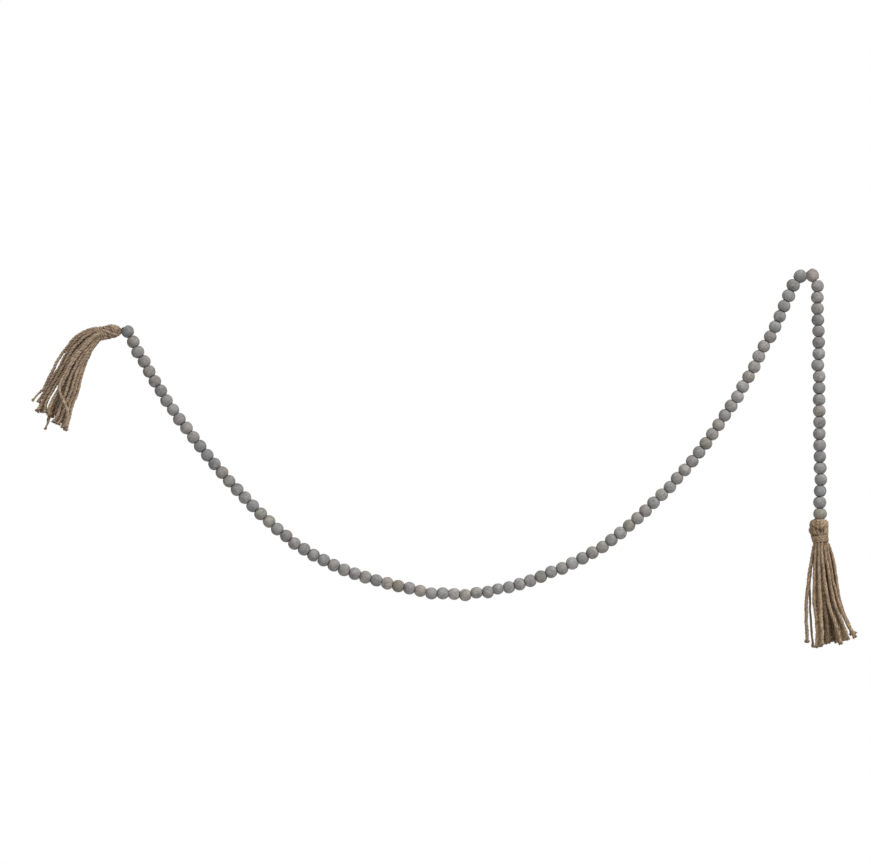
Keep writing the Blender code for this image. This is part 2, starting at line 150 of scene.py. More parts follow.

# The left tassel's strands: how far back the middle and the cut end lie, radius, lightness, and the
# points as (share of the way down, share of the way from the outer to the inner edge).
# The lightness is partly the twine's own tone and partly painted shade, lower on the strands that lie
# further back.
LEFT_ROUTES = (
    (-3, -3, 1.85, 0.58, (
        (0, 0.065), (0.1, 0.015), (0.2, -0.005), (0.3, 0.018), (0.37, 0.04), (0.5, 0.038),
        (0.6, 0.045), (0.7, 0.03), (0.8, 0.012),
    )),
    (-5, -4, 1.9, 0.56, (
        (0, 0.13), (0.1, 0.1), (0.2, 0.09), (0.3, 0.112), (0.36, 0.146), (0.42, 0.168), (0.5, 0.182),
        (0.55, 0.172), (0.6, 0.142), (0.66, 0.12), (0.725, 0.1), (0.835, 0.065), (0.935, 0.032),
    )),
    (-8.5, -8, 2, 0.58, (
        (0, 0.235), (0.2, 0.2), (0.33, 0.232), (0.45, 0.262), (0.65, 0.22), (0.775, 0.165),
        (0.86, 0.138), (0.955, 0.128), (1.015, 0.1),
    )),
    (-2, -2, 2, 0.52, ((0, 0.33), (0.25, 0.295), (0.45, 0.31), (0.75, 0.21), (1, 0.19))),
    (-10, -9, 1.95, 0.58, (
        (0, 0.4), (0.45, 0.365), (0.6, 0.338), (0.66, 0.315), (0.69, 0.298), (0.8, 0.25),
        (0.9, 0.237), (0.95, 0.265), (0.99, 0.305),
    )),
    (-6, -6, 1.95, 0.44, ((0, 0.48), (0.45, 0.46), (0.75, 0.46), (0.9, 0.425), (1.03, 0.44))),
    (5, 4, 2.05, 0.45, ((0, 0.82), (0.45, 0.87), (0.75, 0.92), (0.98, 0.91))),
    (-12, -11, 1.95, 0.57, (
        (0, 0.52), (0.45, 0.465), (0.7, 0.43), (0.755, 0.408), (0.815, 0.38), (0.885, 0.362),
        (0.95, 0.375), (0.995, 0.415),
    )),
    (-13, -15, 1.7, 0.56, (
        (0, 0.46), (0.45, 0.42), (0.62, 0.387), (0.685, 0.41), (0.735, 0.53), (0.77, 0.66),
        (0.8, 0.78), (0.835, 0.87), (0.89, 0.925), (1.01, 0.945),
    )),
    (-9.5, -9, 2.05, 0.57, (
        (0, 0.65), (0.45, 0.605), (0.6, 0.62), (0.7, 0.645), (0.775, 0.655), (0.92, 0.645),
        (1.03, 0.6),
    )),
    (-8, -7.5, 2.15, 0.57, (
        (0, 0.75), (0.45, 0.735), (0.65, 0.762), (0.8, 0.768), (0.915, 0.745), (1.02, 0.715),
    )),
    (-6, -5.5, 2.15, 0.59, ((0, 0.83), (0.3, 0.825), (0.6, 0.85), (0.75, 0.873), (1.03, 0.87))),
    (0, 0, 1.95, 0.56, (
        (0, 0.9), (0.18, 0.885), (0.3, 0.92), (0.45, 0.94), (0.6, 0.955), (0.75, 0.972),
        (0.85, 0.975), (0.95, 0.965), (1.05, 0.955),
    )),
    (5, 5, 1.95, 0.48, ((0, 0.22), (0.27, 0.18), (0.45, 0.245), (0.75, 0.15), (0.96, 0.13))),
    (2, 1, 2.15, 0.52, (
        (0, 0.42), (0.45, 0.47), (0.735, 0.49), (0.84, 0.488), (0.9, 0.485), (0.955, 0.485),
        (1, 0.495),
    )),
    (-5, -4, 2.15, 0.52, ((0, 0.55), (0.45, 0.535), (0.6, 0.55), (0.75, 0.57), (0.95, 0.572))),
    (11, 12, 2.05, 0.45, ((0, 0.69), (0.45, 0.672), (0.75, 0.695), (0.9, 0.68), (1.02, 0.665))),
    (8, 8, 2.1, 0.47, ((0, 0.8), (0.45, 0.775), (0.75, 0.8), (0.99, 0.825))),
)

# Where two strands go on past their row, by their place in the rows. Columns: x, z in millimetres
# from the head's top.
LEFT_TAILS = {
    0: ((-83.3, -64.2), (-87, -68), (-91.2, -72.6)),
    5: ((-75.4, -96.5), (-76.8, -99.6), (-78.2, -102.2)),
}

# How these two thin out: the share of the radius at the cut end, and over how many millimetres.
LEFT_ENDS = {0: (0.62, 18), 5: (0.6, 10)}

# Where a left strand starts inside the tie. Columns: distance down, greatest reach to the side.
LEFT_ROOTS = ((16.5, 4.2), (20.5, 5))
ROOT_DEPTH = 0.42

# How far back a strand lies at its neck, as a share of how far back its middle lies.
NECK_DEPTH = 0.6

# How much the strands differ by chance in tone, and in length.
STRAND_TONE_SPREAD = 0.02
TRIM = 1.3 * MM

# Sizes of what is added here

# The camera stands straight in front. The sensor is in millimetres, the view's width in metres.
CAMERA_AWAY = 5.0
CAMERA_X = -0.3903
CAMERA_Z = -0.1685
SENSOR = 36.0
VIEW_WIDTH = 0.91455

# The beads: sides, half the length of those that touch, how rims and holes are cut and worn, and how wide
# the painted shade on the touching faces spreads.
SHELL_SIDES = 40
TOUCH_HALF_LENGTH = 5.94 * MM
RIM_DROP = 0.12 * MM
RIM_ARC = 0.09
DRILL_RADIUS = 1.25 * MM
DRILL_FLARE = 0.1 * MM
DRILL_THROAT = 0.5 * MM
RIM_STEPS = 3
SIDE_BANDS = 8
WEAR_AND_SHADE_WIDTH = 1.1 * MM

# The flat round the hole. Columns: radius, distance below the top, in millimetres.
FACE_FLAT = ((1.6, 0), (2.6, 0.02), (3.05, 0.05))

# How the wash differs by chance, and how far at most: in lightness, in warmth and in how much bare
# wood shows.
LIGHT_SPREAD = 0.085
LIGHT_LIMITS = (0.8, 1.2)
WARM_MIDDLE = 0.02
WARM_SPREAD = 0.22
WARM_LIMITS = (-0.9, 1.3)
BARE_SHAPE = 1.1
BARE_SCALE = 0.14
BARE_MOST = 0.6
HUE_SPREAD = 0.2

# How far the beads differ by chance: in size, as an egg, as an oval, in how they rock on the string
# and hang off it in millimetres, how many have grain that runs any way, and how it leans in the rest.
SIZE_SPREAD = 0.012
EGG_SPREAD = 0.016
OVAL_SPREAD = 0.008
ROCK_SPREAD = 0.022
PLAY_SPREAD = 0.16
WILD_GRAIN = 0.35
GRAIN_LEAN = 0.25

# Shallow dents. Columns: how many fit round a bead, depth in millimetres.
DENTS = ((2.2, 0.05), (3.8, 0.035), (6.5, 0.018))

# The range of an angle left to chance.
ANY_ANGLE = 6.28

# The string and the twine: how fast the plies turn, how fine they are made, how thick and how worn
# a ply is, how a length starts, and how far a cut end frays and how hairy it is.
STRING_RADIUS = 0.58 * MM
STRING_TWINE = {"shade": 0.4, "turn": 4.2 * MM, "step": 0.8 * MM, "fuzz": 0, "plies": 2}
TWINE_TURN = 10.8 * MM
TWINE_STEP = 0.9 * MM
PLY_SIDES = 6
PLY_SHARE = 0.57
PLY_SHARE_WORN = 0.09
CORE_SIDES = 24
FIBRE_RADIUS = 0.065 * MM
STREAK_PACE = 0.27
WORN_RIDGE = 0.74
FRAY_LENGTH = 4 * MM
END_HAIRS = 22
END_HAIRS_RADIUS = 1.1 * MM
START_LENGTH = 9 * MM
WANDER_START = 12 * MM

# An end that doesn't thin out: the share of the radius left there, and over how many millimetres.
FULL_END = (1, 18)

# Fibres along a length: how many follow it forward, lengths in millimetres, curls, and how their tone
# differs, as middle and spread. Then the same for the tuft of a cut end, with its greatest lean.
FORWARD_FIBRES = 0.7
FIBRE_LENGTHS = (0.8, 2.2)
FIBRE_CURLS = (0.1, 0.45)
FIBRE_TONES = (0.02, 0.14)
TUFT_LEAN = 1.1
TUFT_LONGEST = 1.9
TUFT_RADII = (0.2, 0.4)
TUFT_CURLS = (-0.25, 0.25)
TUFT_TONES = (-0.08, 0.16)

# Where lengths get painted shade from each other: from what distance, in sums of their radii, over what
# range of it, and the same for how squarely a point faces the other length.
CLOSE_FROM = 1.75
CLOSE_RANGE = 0.65
FACING_FROM = 0.15
FACING_RANGE = 0.7

# What changes slowly along a length: its path, thickness and spin, its plies' thickness and tone.
# Columns: wave length in metres, size.
WANDER_SIDE = (26 * MM, 0.3 * MM)
WANDER_OTHER = (22 * MM, 0.3 * MM)
THICKNESS_WAVE = (24 * MM, 0.05)
SPIN_WAVE = (34 * MM, 0.9)
PLY_WAVE = (8 * MM, 0.1)
TONE_WAVE = (16 * MM, 0.06)

# How far the middle of a folded length lies inside the head's outline, how close it may come to the
# head's axis, and the least square of how far forward it lies, in millimetres.
FOLD_INSET = 1.9
LEAST_REACH = 0.5
LEAST_FORWARD = 0.6

# The two ties: seed, how far they lean, the radius and the shift across of the first and last turn in
# millimetres, and the twine itself.
RIGHT_TIE = {
    "seed": 23, "slant": -0.17, "radii": (7.4, 7.1), "drift": (-0.85, 0.45), "twine_radius": 1.75 * MM,
    "tone": 0.62,
}
LEFT_TIE = {
    "seed": 33, "slant": -0.3, "radii": (6.2, 5.7), "drift": (-0.7, -0.2), "twine_radius": 1.6 * MM,
    "tone": 0.56,
}

# How the ties are wound: steps in a turn, where they start, and how their ends are tucked in.
TIE_STEPS = 24
TIE_START = math.radians(120)
TUCK_STEPS = 3
TUCK_DEPTH = 2.2 * MM
TIE_TWINE = {"turn": 10 * MM, "step": 0.85 * MM, "fuzz": 2.4, "sides": 7, "worn": 0.75}

# The seeds of what is left to chance.
TONES_SEED = 41
FIRST_BEAD_SEED = 1000
STRING_SEED = 7
RIGHT_SEED = 21
RIGHT_BACK_SEED = 22
LEFT_SEED = 31

# The colours of string and twine: dark, middle, light, and the painted shade where other lengths lie against
# it.
STRING_COLOURS = ((0.06, 0.05, 0.042), (0.14, 0.12, 0.1), (0.27, 0.24, 0.21), (0.04, 0.03, 0.03))
RIGHT_JUTE = ((0.096, 0.058, 0.031), (0.305, 0.214, 0.132), (0.54, 0.404, 0.265), (0.072, 0.041, 0.022))
LEFT_JUTE = ((0.095, 0.058, 0.034), (0.308, 0.219, 0.146), (0.54, 0.41, 0.293), (0.07, 0.04, 0.023))

# The floor, the white around, as light and as the camera sees it, and where the lamps aim.
FLOOR_SIDES = 64
FLOOR_REACH = 28
FLOOR_HEIGHT = -3.2
WORLD_LIGHT = 0.42
WORLD_SHOWN = 1.0
AIM = Vector((-0.39, 0, -0.17))

# Where the string shows beside the first bead, from its middle. Columns: x, y, z in millimetres.
LOOP_SHOWN = (
    (-7.2, 1.5, 0.4), (-6.4, 3.5, 2), (-5.2, 3.8, 3.6), (-3.9, 1.9, 4.9),
)

# The outlines of the two heads. Columns: distance down, middle across, radius in millimetres.
RIGHT_KNOB = (
    (0.3, -1.2, 4), (1.2, -1.3, 6.4), (2.6, -1.3, 8.6), (5, -1.3, 9.8), (10, -1.3, 9.8),
    (13, -0.9, 9.5), (15.2, -0.5, 8.8), (16.8, -0.3, 6.6), (19, -0.2, 5.6), (25, 0.6, 5.6),
)
LEFT_KNOB = (
    (-1.6, 0.3, 2.9), (0.5, 0, 4.8), (3, -0.7, 6.6), (6, -0.95, 7.4), (9.4, -1, 7.6),
    (13, -0.6, 7.4), (15.2, -0.5, 7.4), (17.5, -0.6, 7.2), (19.5, -0.4, 6), (25, 0.2, 5.2),
)

# The folded lengths on the front of the right head. Columns: x, z from the head's top, how far a
# length lies over the others, in millimetres.
RIGHT_FOLDS = (
    (
        (-4.5, -1.6, 0), (-8.6, -2.5, 0), (-9.7, -5.4, 0), (-9.3, -8.5, 0), (-10.6, -11.5, 0.2),
        (-9, -14.6, 0), (-7.7, -18, -0.5),
    ),
    (
        (-3.8, -1.4, 0.8), (-7.6, -3, 1), (-7, -5.6, 1), (-4.6, -7.6, 0.9), (-2.6, -9, 0.2),
        (-1.6, -10.4, -2),
    ),
    (
        (-9.2, -5.6, 0.6), (-8.6, -8, 0.9), (-6.8, -10, 0.7), (-5.4, -11, -0.5),
        (-4.6, -12, -2.5),
    ),
    ((-9.6, -11, 0.4), (-7.6, -12.6, 0.9), (-5.2, -13.8, 0.9), (-3.6, -15.6, 0.3), (-2.6, -18.5, -1)),
    (
        (1, -1.2, 0.6), (3.6, -1.8, 1), (4.4, -4, 1), (2.8, -6.4, 0.8), (0.8, -8.2, 0.4),
        (-0.2, -10.2, -1.6),
    ),
    (
        (4, -1.6, 0.4), (6, -3.4, 0.8), (6, -6, 0.9), (4.6, -8, 0.5), (3, -9.4, -0.4),
        (2.2, -10.6, -2.4),
    ),
    (
        (4.4, -1.7, 0), (6.6, -2.8, 0), (7, -6.2, 0), (6.8, -10, 0.2), (6.8, -14, 0.2),
        (6.6, -17, 0), (5.2, -20.5, -0.8),
    ),
    ((5.6, -9.4, 0.5), (5, -12.2, 0.6), (4, -14.6, 0.4), (3, -18, -0.8)),
    (
        (-3.6, -2.8, 0.4), (-1.8, -1.5, 0.9), (0.4, -1.6, 0.9), (1.2, -3.2, 0.6), (0.4, -5.2, -0.2),
        (-0.4, -7.4, -0.6),
    ),
    ((-4.6, -4, -0.2), (-3, -4.6, 0.1), (-1.6, -6, -0.1), (-0.6, -8.2, -0.6)),
    (
        (-1.8, -14, -1.2), (-0.4, -15, -0.4), (1.4, -15.2, -0.4), (2.4, -16.6, -0.8),
        (2.6, -18.5, -1.2),
    ),
)

# The other folded lengths: how many, from where to where down the head, between which angles from its
# right side round by the back, and how they spiral.
RIGHT_SIDE_FOLDS = {"count": 8, "downs": (0.6, 20), "span": (-200, 20)}
RIGHT_BACK_FOLDS = {"count": 7, "downs": (0.6, 20), "span": (0, 180)}
LEFT_HEAD_FOLDS = {"count": 10, "downs": (-1, 21), "span": (0, 360), "spiral": -1.7}
SPIRAL_LENGTH = 16
FOLD_POINTS = 9
FOLD_STRAY = 0.2

# Painted shade in the hollows between the folds, seen from the front: x, z from the head's top, radius,
# darkness.
RIGHT_HOLLOWS = (
    (-0.8, -10.8, 2, 0.95), (2.6, -10.5, 1.3, 1), (-4, -10.4, 1.3, 0.8), (-1.8, -4.2, 1.3, 0.55),
    (-7, -4, 0.9, 0.6), (0.8, -8.6, 1.8, 0.45), (-0.4, -12.6, 1.6, 0.6), (0.9, -10.8, 1.3, 0.7),
)
LEFT_HOLLOWS = (
    (-12.8, -3, 1.5, 0.5), (-11.8, -5.4, 1.6, 0.4), (-11.2, -8.6, 2, 0.4), (0.4, 1.6, 2.6, 0.5),
    (-4.2, -6.6, 2.4, 0.3), (-10.2, 2.6, 1.2, 0.25),
)

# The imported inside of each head: distance down, middle across, radius in millimetres.
RIGHT_CORE = (
    (1, -1.2, 2.6), (2.2, -1.2, 5.2), (5, -1.2, 6.2), (8, -1.2, 5.2), (11, -0.8, 3.6),
    (15, -0.4, 4.2), (25, 1, 5.2), (31, 1.8, 5), (44, 3.2, 3.4), (60, 4.5, 0.8),
)
LEFT_CORE = (
    (0.2, 0.1, 1.2), (3, -0.4, 3.6), (7, -0.8, 5), (11, -0.7, 5.2), (15, -0.4, 4.4), (25, 0, 4.8),
    (31, 0, 4.2), (36, 0, 1),
)

# Beads that hang beside the string's line. Columns: number, shift to the side in millimetres.
ASIDE = (
    (1, -0.95), (3, 0.7), (8, 0.7), (10, 0.7), (25, 0.7), (28, -0.75), (38, 1.1), (41, 0.9), (42, -0.7),
    (44, -0.9), (49, -1.1), (54, 0.8), (62, 0.6), (72, 0.75), (76, -0.7), (77, -0.7), (81, -0.65),
    (82, -0.3), (87, 0.95), (88, 1), (89, 0.8), (93, 0.9), (102, -0.7), (103, -1),
)

# Beads that are larger or smaller than most. Columns: number, size.
OWN_SIZES = (
    (2, 1.02), (3, 1.04), (4, 1.03), (9, 0.94), (37, 0.97), (38, 0.97), (39, 0.97), (40, 0.94),
    (41, 0.97), (42, 0.94), (43, 0.98), (44, 0.9), (45, 0.98), (49, 0.98), (54, 0.98), (62, 0.95),
    (72, 1.01), (76, 1.01), (77, 1.01), (81, 1.01), (82, 1.07), (83, 1.08), (87, 1.01), (88, 1.01),
    (89, 1.01), (93, 1.01), (102, 1.01), (103, 1.01), (105, 1.04), (106, 1.07),
)

# Beads whose wash stands out. Columns: number, lightness, warmth (below 0 is cool), bare wood.
# The first bead's low lightness is painted shade from the left tassel beside it.
OWN_TONES = (
    (1, 0.82, -0.1, 0), (2, 0.92, 0.35, 0.15), (3, 1, 0.1, 0.1), (4, 0.96, 0.2, 0.1),
    (5, 1, 0.35, 0.1), (8, 1, -0.3, 0), (9, 1.11, -0.3, 0), (10, 1, 0.1, 0.1),
    (13, 0.89, -0.6, 0), (14, 0.96, -0.5, 0), (15, 0.89, -0.5, 0), (16, 1, 0.5, 0.5),
    (19, 1.08, 0.1, 0), (20, 0.98, -0.6, 0), (21, 0.97, 0.4, 0.2), (22, 1.03, 0.4, 0.2),
    (23, 1.04, -0.5, 0), (24, 0.86, 0.1, 0), (25, 1, 0.1, 0.1), (27, 0.9, 0.1, 0),
    (28, 0.92, 0, 0.1), (30, 1.04, 0.35, 0.1), (32, 1, 0.4, 0.4), (34, 1.08, 0.6, 0.4),
    (35, 0.8, 0.8, 0.7), (36, 1, -0.2, 0), (37, 1.04, 0.5, 0.6), (38, 1.03, 0, 0.1),
    (39, 1, -0.5, 0), (40, 1.11, 0.35, 0.3), (41, 1.08, 0.5, 0.4), (42, 1, 0.4, 0.5),
    (43, 1, -0.1, 0.1), (44, 0.96, 0, 0.1), (45, 1.02, -0.35, 0), (48, 0.8, 0.3, 0.2),
    (49, 1, 0, 0.1), (51, 1.17, -0.1, 0), (53, 0.94, 0.5, 0.4), (54, 0.97, 0.3, 0.2),
    (56, 1.1, 0.1, 0), (57, 0.86, 0.5, 0.3), (60, 0.93, 0, 0), (62, 1, -0.3, 0),
    (64, 1.07, 0.3, 0.1), (65, 0.9, 0.1, 0), (66, 0.92, 0.1, 0), (67, 0.83, 0.6, 0.4),
    (69, 1, 0.4, 0.3), (72, 1.18, 0.15, 0.1), (73, 1.07, 0.1, 0.1), (74, 0.97, 0.4, 0.2),
    (75, 1.03, 0.4, 0.2), (76, 1.16, 0.1, 0.1), (77, 1.03, 0.2, 0.1), (79, 0.97, -0.2, 0),
    (81, 1, 0, 0.1), (82, 1.08, -0.3, 0.1), (83, 0.86, 0.1, 0.2), (87, 1, 0.3, 0.1),
    (88, 1.04, 0.3, 0.2), (89, 0.84, -0.4, 0.1), (93, 1, 0, 0.1), (94, 1, 0.3, 0.2),
    (95, 0.89, -0.35, 0), (97, 0.99, 0.55, 0.4), (101, 0.89, -0.4, 0), (102, 1, -0.2, 0.1),
    (103, 1, 0, 0.1), (104, 0.9, -0.45, 0), (105, 0.97, -0.1, 0.1), (106, 0.96, 0.8, 0.3),
)

# Beads whose wash leans to pink (below 0) or to green. Columns: number, how far.
HUES = (
    (2, 0.3), (3, 0.4), (4, -0.3), (5, 0.6), (21, 0.6), (22, 0.5), (30, 0.6), (35, 0.6), (37, -0.4),
    (48, 0.6), (53, -0.2), (57, 0.8), (60, 0.6), (67, 0.5), (69, 0.4), (74, 0.5), (75, 0.6), (76, -0.5),
    (79, 0.4), (82, 0), (83, 0.1), (84, 0.35), (85, -0.8), (86, -0.3), (87, 0.2), (88, 0),
    (89, -0.4), (94, -0.6), (106, 1.3),
)

# How much lighter or darker the beads are made along the string. Columns: number, factor.
LIGHTNESS_TREND = (
    (1, 0.9), (23, 0.94), (32, 0.99), (41, 1.05), (50, 1), (59, 1.08), (72, 1.04), (79, 1.03),
    (86, 0.94), (95, 1.02), (106, 0.98),
)

# How far the beads have slid along the string, which is not strung evenly. Columns: number, millimetres.
SLIDES = (
    (1, 0.4), (4, 0.2), (9, 0), (14, 0.5), (21, 0.9), (27, 0.35), (43, 0.45), (44, -0.4), (47, -0.9),
    (53, -0.3), (57, 0.3), (59, -0.2), (66, 0.1), (72, -0.1), (76, 0.45), (83, 0.3), (86, -0.6),
    (87, -0.6), (90, -1.05), (94, -0.95), (100, -0.4), (106, 0.2),
)

# Beads with a neighbour missing or out of line, which are as long as most.
END_BEADS = (1, 83, 106)

# The three beads of the bend, which hang closer together than their solids.
# Columns: number, shift right and up in millimetres, size, length, lightness, warmth, bare wood.
BEND_BEADS = (
    (84, 0.2, -0.9, 1.03, 1.13, 0.94, 0.05, 0), (85, -1, -0.4, 1.03, 1.1, 1, 0.5, 0.1),
    (86, -0.3, 0.7, 1.02, 1, 1.02, 0.2, 0.1),
)

# Layout functions


def heading(angle):
    """Gives the unit direction at an angle above +X in the plane of the garland."""
    return Vector((math.cos(angle), 0.0, math.sin(angle)))


def smooth_line(points, steps):
    """Reads a Catmull-Rom curve through points, with a number of steps between each two."""
    knots = [2 * points[0] - points[1]] + list(points) + [2 * points[-1] - points[-2]]
    line = []
    for i in range(1, len(knots) - 2):
        p0, p1, p2, p3 = knots[i - 1:i + 3]
        for k in range(steps):
            t = k / steps
            slope = (p2 - p0) * t
            curve = (2 * p0 - 5 * p1 + 4 * p2 - p3) * t * t
            twist = (3 * p1 - p0 - 3 * p2 + p3) * t ** 3
            line.append(0.5 * (2 * p1 + slope + curve + twist))
    line.append(points[-1].copy())
    return line


def walk(line, step, count):
    """Steps along a line in equal chords, and gives the points that it lands on."""
    points = [line[0].copy()]
    index = 1
    for _ in range(count):
        here = points[-1]
        while (line[index] - here).length < step:
            index += 1
        low, high = 0.0, 1.0
        for _ in range(30):
            middle = 0.5 * (low + high)
            if (line[index - 1].lerp(line[index], middle) - here).length < step:
                low = middle
            else:
                high = middle
        points.append(line[index - 1].lerp(line[index], low))
    return points


def face_clearance(bend):
    """Gives how far a bead's face stays from the point where the string bends beside it."""
    return GAP / 2 + FACE_RADIUS * math.tan(abs(bend) / 2)


def garland_layout():
    """Works out each bead's place, as (first number, count, middle, direction), and the cord."""
    knots = [Vector((x * MM, 0.0, z * MM)) for x, z in SWAG_ROUTE]
    joints = walk(smooth_line(knots, 40), 2 * SWAG_PITCH, SWAG_PAIRS)
    first_way = (joints[1] - joints[0]).normalized()
    last_way = (joints[-1] - joints[-2]).normalized()
    half_rest = SWAG_PITCH / 2 - BEAD_HALF_LENGTH

    way = heading(FIRST_BEAD_ANGLE)
    clear = face_clearance(way.angle(first_way))
    bend = joints[0] - first_way * max(clear - half_rest, 0.0)
    middle = bend - way * (clear + BEAD_HALF_LENGTH)
    beads = [(1, 1, middle, way)]
    cord = [middle + Vector((x * MM, 0.0, z * MM)) for x, z in LEFT_LOOP]
    cord += [middle - way * BEAD_HALF_LENGTH, bend]

    for i in range(SWAG_PAIRS):
        start, end = joints[i], joints[i + 1]
        beads.append((2 + 2 * i, 2, (start + end) / 2, (end - start).normalized()))
    cord += joints[1:-1]

    way = heading(RISING_BEAD_ANGLE)
    clear = face_clearance(way.angle(last_way))
    bend = joints[-1] + last_way * max(clear - half_rest, 0.0)
    middle = bend + way * (clear + BEAD_HALF_LENGTH)
    beads.append((2 + 2 * SWAG_PAIRS, 1, middle, way))
    rise = middle + way * (BEAD_HALF_LENGTH + CORD_STUB)
    cord += [bend, rise]

    way = heading(FALLING_BEAD_ANGLE)
    middle = middle + Vector((ARCH_ACROSS, 0.0, ARCH_UP))
    beads.append((3 + 2 * SWAG_PAIRS, 1, middle, way))
    fall = middle - way * (BEAD_HALF_LENGTH + CORD_STUB)
    crown = rise.lerp(fall, 0.5) + Vector((0.0, 0.0, CORD_CROWN))
    cord += [crown, fall]

    down = heading(DROP_ANGLE)
    turn = heading(TURNING_BEAD_ANGLE)
    clear = face_clearance(turn.angle(way))
    bend = middle + way * (BEAD_HALF_LENGTH + clear)
    middle = bend + turn * (clear + BEAD_HALF_LENGTH)
    beads.append((4 + 2 * SWAG_PAIRS, 1, middle, turn))
    cord.append(bend)
    clear = face_clearance(down.angle(turn))
    bend = middle + turn * (BEAD_HALF_LENGTH + clear)
    middle = bend + down * (clear + BEAD_HALF_LENGTH + SWAG_PITCH / 2)
    for i in range(DROP_PAIRS):
        beads.append((5 + 2 * SWAG_PAIRS + 2 * i, 2, middle.copy(), down))
        middle += down * 2 * DROP_PITCH
    end = beads[-1][2] + down * (SWAG_PITCH / 2 + BEAD_HALF_LENGTH)
    cord += [bend, end]

    slide = Vector((-crown.x, 0.0, CORD_RADIUS - crown.z))
    beads = [(number, count, middle + slide, way) for number, count, middle, way in beads]
    return beads, [point + slide for point in cord]


def smooth_through(points, steps=12):
    """Gives a smooth line through points given as tuples."""
    return smooth_line([Vector(p) for p in points], steps)


def depth_at(share, middle, end):
    """Gives how far back a strand lies: near the neck, by its middle, to its cut end."""
    neck = NECK_DEPTH * middle
    if share < 0.5:
        t = share / 0.5
        return neck + (middle - neck) * math.sin(t * math.pi / 2)
    t = (share - 0.5) / 0.5
    return middle + (end - middle) * t


def as_seen(point):
    """Moves a point in front or behind, so that it keeps its place as seen by the camera."""
    grow = 1.0 + point.y / CAMERA_AWAY
    x = CAMERA_X + (point.x - CAMERA_X) * grow
    z = CAMERA_Z + (point.z - CAMERA_Z) * grow
    return Vector((x, point.y, z))


def right_strand(row, top):
    """Gives a strand of the right tassel from inside the tie to its cut end."""
    middle, end, _, _, knots = row
    line = smooth_through([(x, 0.0, -down) for x, down in knots])
    total = line[0].z - line[-1].z
    points = []
    for point in line:
        share = (line[0].z - point.z) / total
        points.append(as_seen(top + Vector((point.x, depth_at(share, middle, end), point.z)) * MM))
    start = [top + Vector((line[0].x * x, y * middle, z)) * MM for x, y, z in RIGHT_ROOTS]
    return smooth_through(start + points[::3] + points[-1:], 4)


def left_strand(row, top, axis, tail=()):
    """Gives a strand of the left tassel, which follows the two edges of the bundle."""
    middle, end, _, _, knots = row
    outer = smooth_through([(a, 0.0, b) for a, b, _, _ in LEFT_EDGES])
    inner = smooth_through([(c, 0.0, d) for _, _, c, d in LEFT_EDGES])
    count = len(outer) - 1
    shares = smooth_through([(t, f, 0.0) for t, f in knots])
    points = []
    last = shares[-1].x
    for share in shares[::2] + [shares[-1]]:
        where = min(max(share.x, 0.0) * CUT_ROW / (len(LEFT_EDGES) - 1), 1.0) * count
        low = min(int(where), count - 1)
        a = outer[low].lerp(outer[low + 1], where - low)
        b = inner[low].lerp(inner[low + 1], where - low)
        point = a.lerp(b, share.y)
        point.y = depth_at(share.x / last, middle, end)
        points.append(as_seen(top + point * MM))
    points += [as_seen(top + Vector((x, end, z)) * MM) for x, z in tail]
    across = 2 * knots[0][1] - 1
    roots = [(across * reach, ROOT_DEPTH * middle, down) for down, reach in LEFT_ROOTS]
    return smooth_through(across_head(top, axis, roots) + points, 4)


def across_head(top, axis, points):
    """Turns points given across a head, to the back and down its axis into the row's frame."""
    side = Vector((-axis.z, 0.0, axis.x))
    return [
        top + axis * down * MM + side * across * MM + Vector((0.0, back * MM, 0.0))
        for across, back, down in points
    ]


# Meshes from arrays


def link_object(name, data):
    """Puts an object with its data into the scene."""
    obj = bpy.data.objects.new(name, data)
    bpy.context.scene.collection.objects.link(obj)
    return obj


class Build:
    """Collects arrays of points, faces and point attributes for one joined mesh."""

    def __init__(self):
        self.points, self.faces, self.names = [], [], {}
        self.size = 0

    def add(self, points, faces, **named):
        """Adds points and faces, with one value or vector a point for each named attribute."""
        self.points.append(points)
        for block in faces:
            self.faces.append(block + self.size)
        for name, values in named.items():
            self.names.setdefault(name, []).append(values)
        self.size += len(points)

    def done(self, name, material):
        """Makes the object."""
        points = np.concatenate(self.points)
        corners = np.concatenate([block.ravel() for block in self.faces])
        counts = np.concatenate([np.full(len(block), block.shape[1]) for block in self.faces])
        mesh = bpy.data.meshes.new(name)
        mesh.vertices.add(len(points))
        mesh.vertices.foreach_set("co", points.astype(np.float32).ravel())
        mesh.loops.add(len(corners))
        mesh.loops.foreach_set("vertex_index", corners.astype(np.int32))
        mesh.polygons.add(len(counts))
        starts = np.concatenate(([0], np.cumsum(counts)[:-1]))
        mesh.polygons.foreach_set("loop_start", starts.astype(np.int32))
        mesh.polygons.foreach_set("use_smooth", np.ones(len(counts), bool))
        mesh.update(calc_edges=True)
        mesh.validate()
        for key, blocks in self.names.items():
            values = np.concatenate(blocks).astype(np.float32)
            kind = "FLOAT" if values.ndim == 1 else "FLOAT_VECTOR"
            attribute = mesh.attributes.new(key, kind, "POINT")
            attribute.data.foreach_set("value" if values.ndim == 1 else "vector", values.ravel())
        mesh.materials.append(material)
        return link_object(name, mesh)


def ring_faces(rings, sides, closed):
    """Gives the quads between rings of points, the last ring joined to the first if closed."""
    a = np.arange(rings if closed else rings - 1)[:, None] * sides
    b = (a + sides) % (rings * sides)
    i = np.arange(sides)[None, :]
    j = (i + 1) % sides
    return np.stack([a + i, a + j, b + j, b + i], -1).reshape(-1, 4)


def tube_faces(rings, sides):
    """Gives the faces of a tube, whose two end points follow its rings."""
    ids = np.arange(sides)
    last = (rings - 1) * sides
    head = np.stack([np.full(sides, rings * sides), (ids + 1) % sides, ids], 1)
    tail = np.stack([np.full(sides, rings * sides + 1), last + ids, last + (ids + 1) % sides], 1)
    return [ring_faces(rings, sides, False), head, tail]


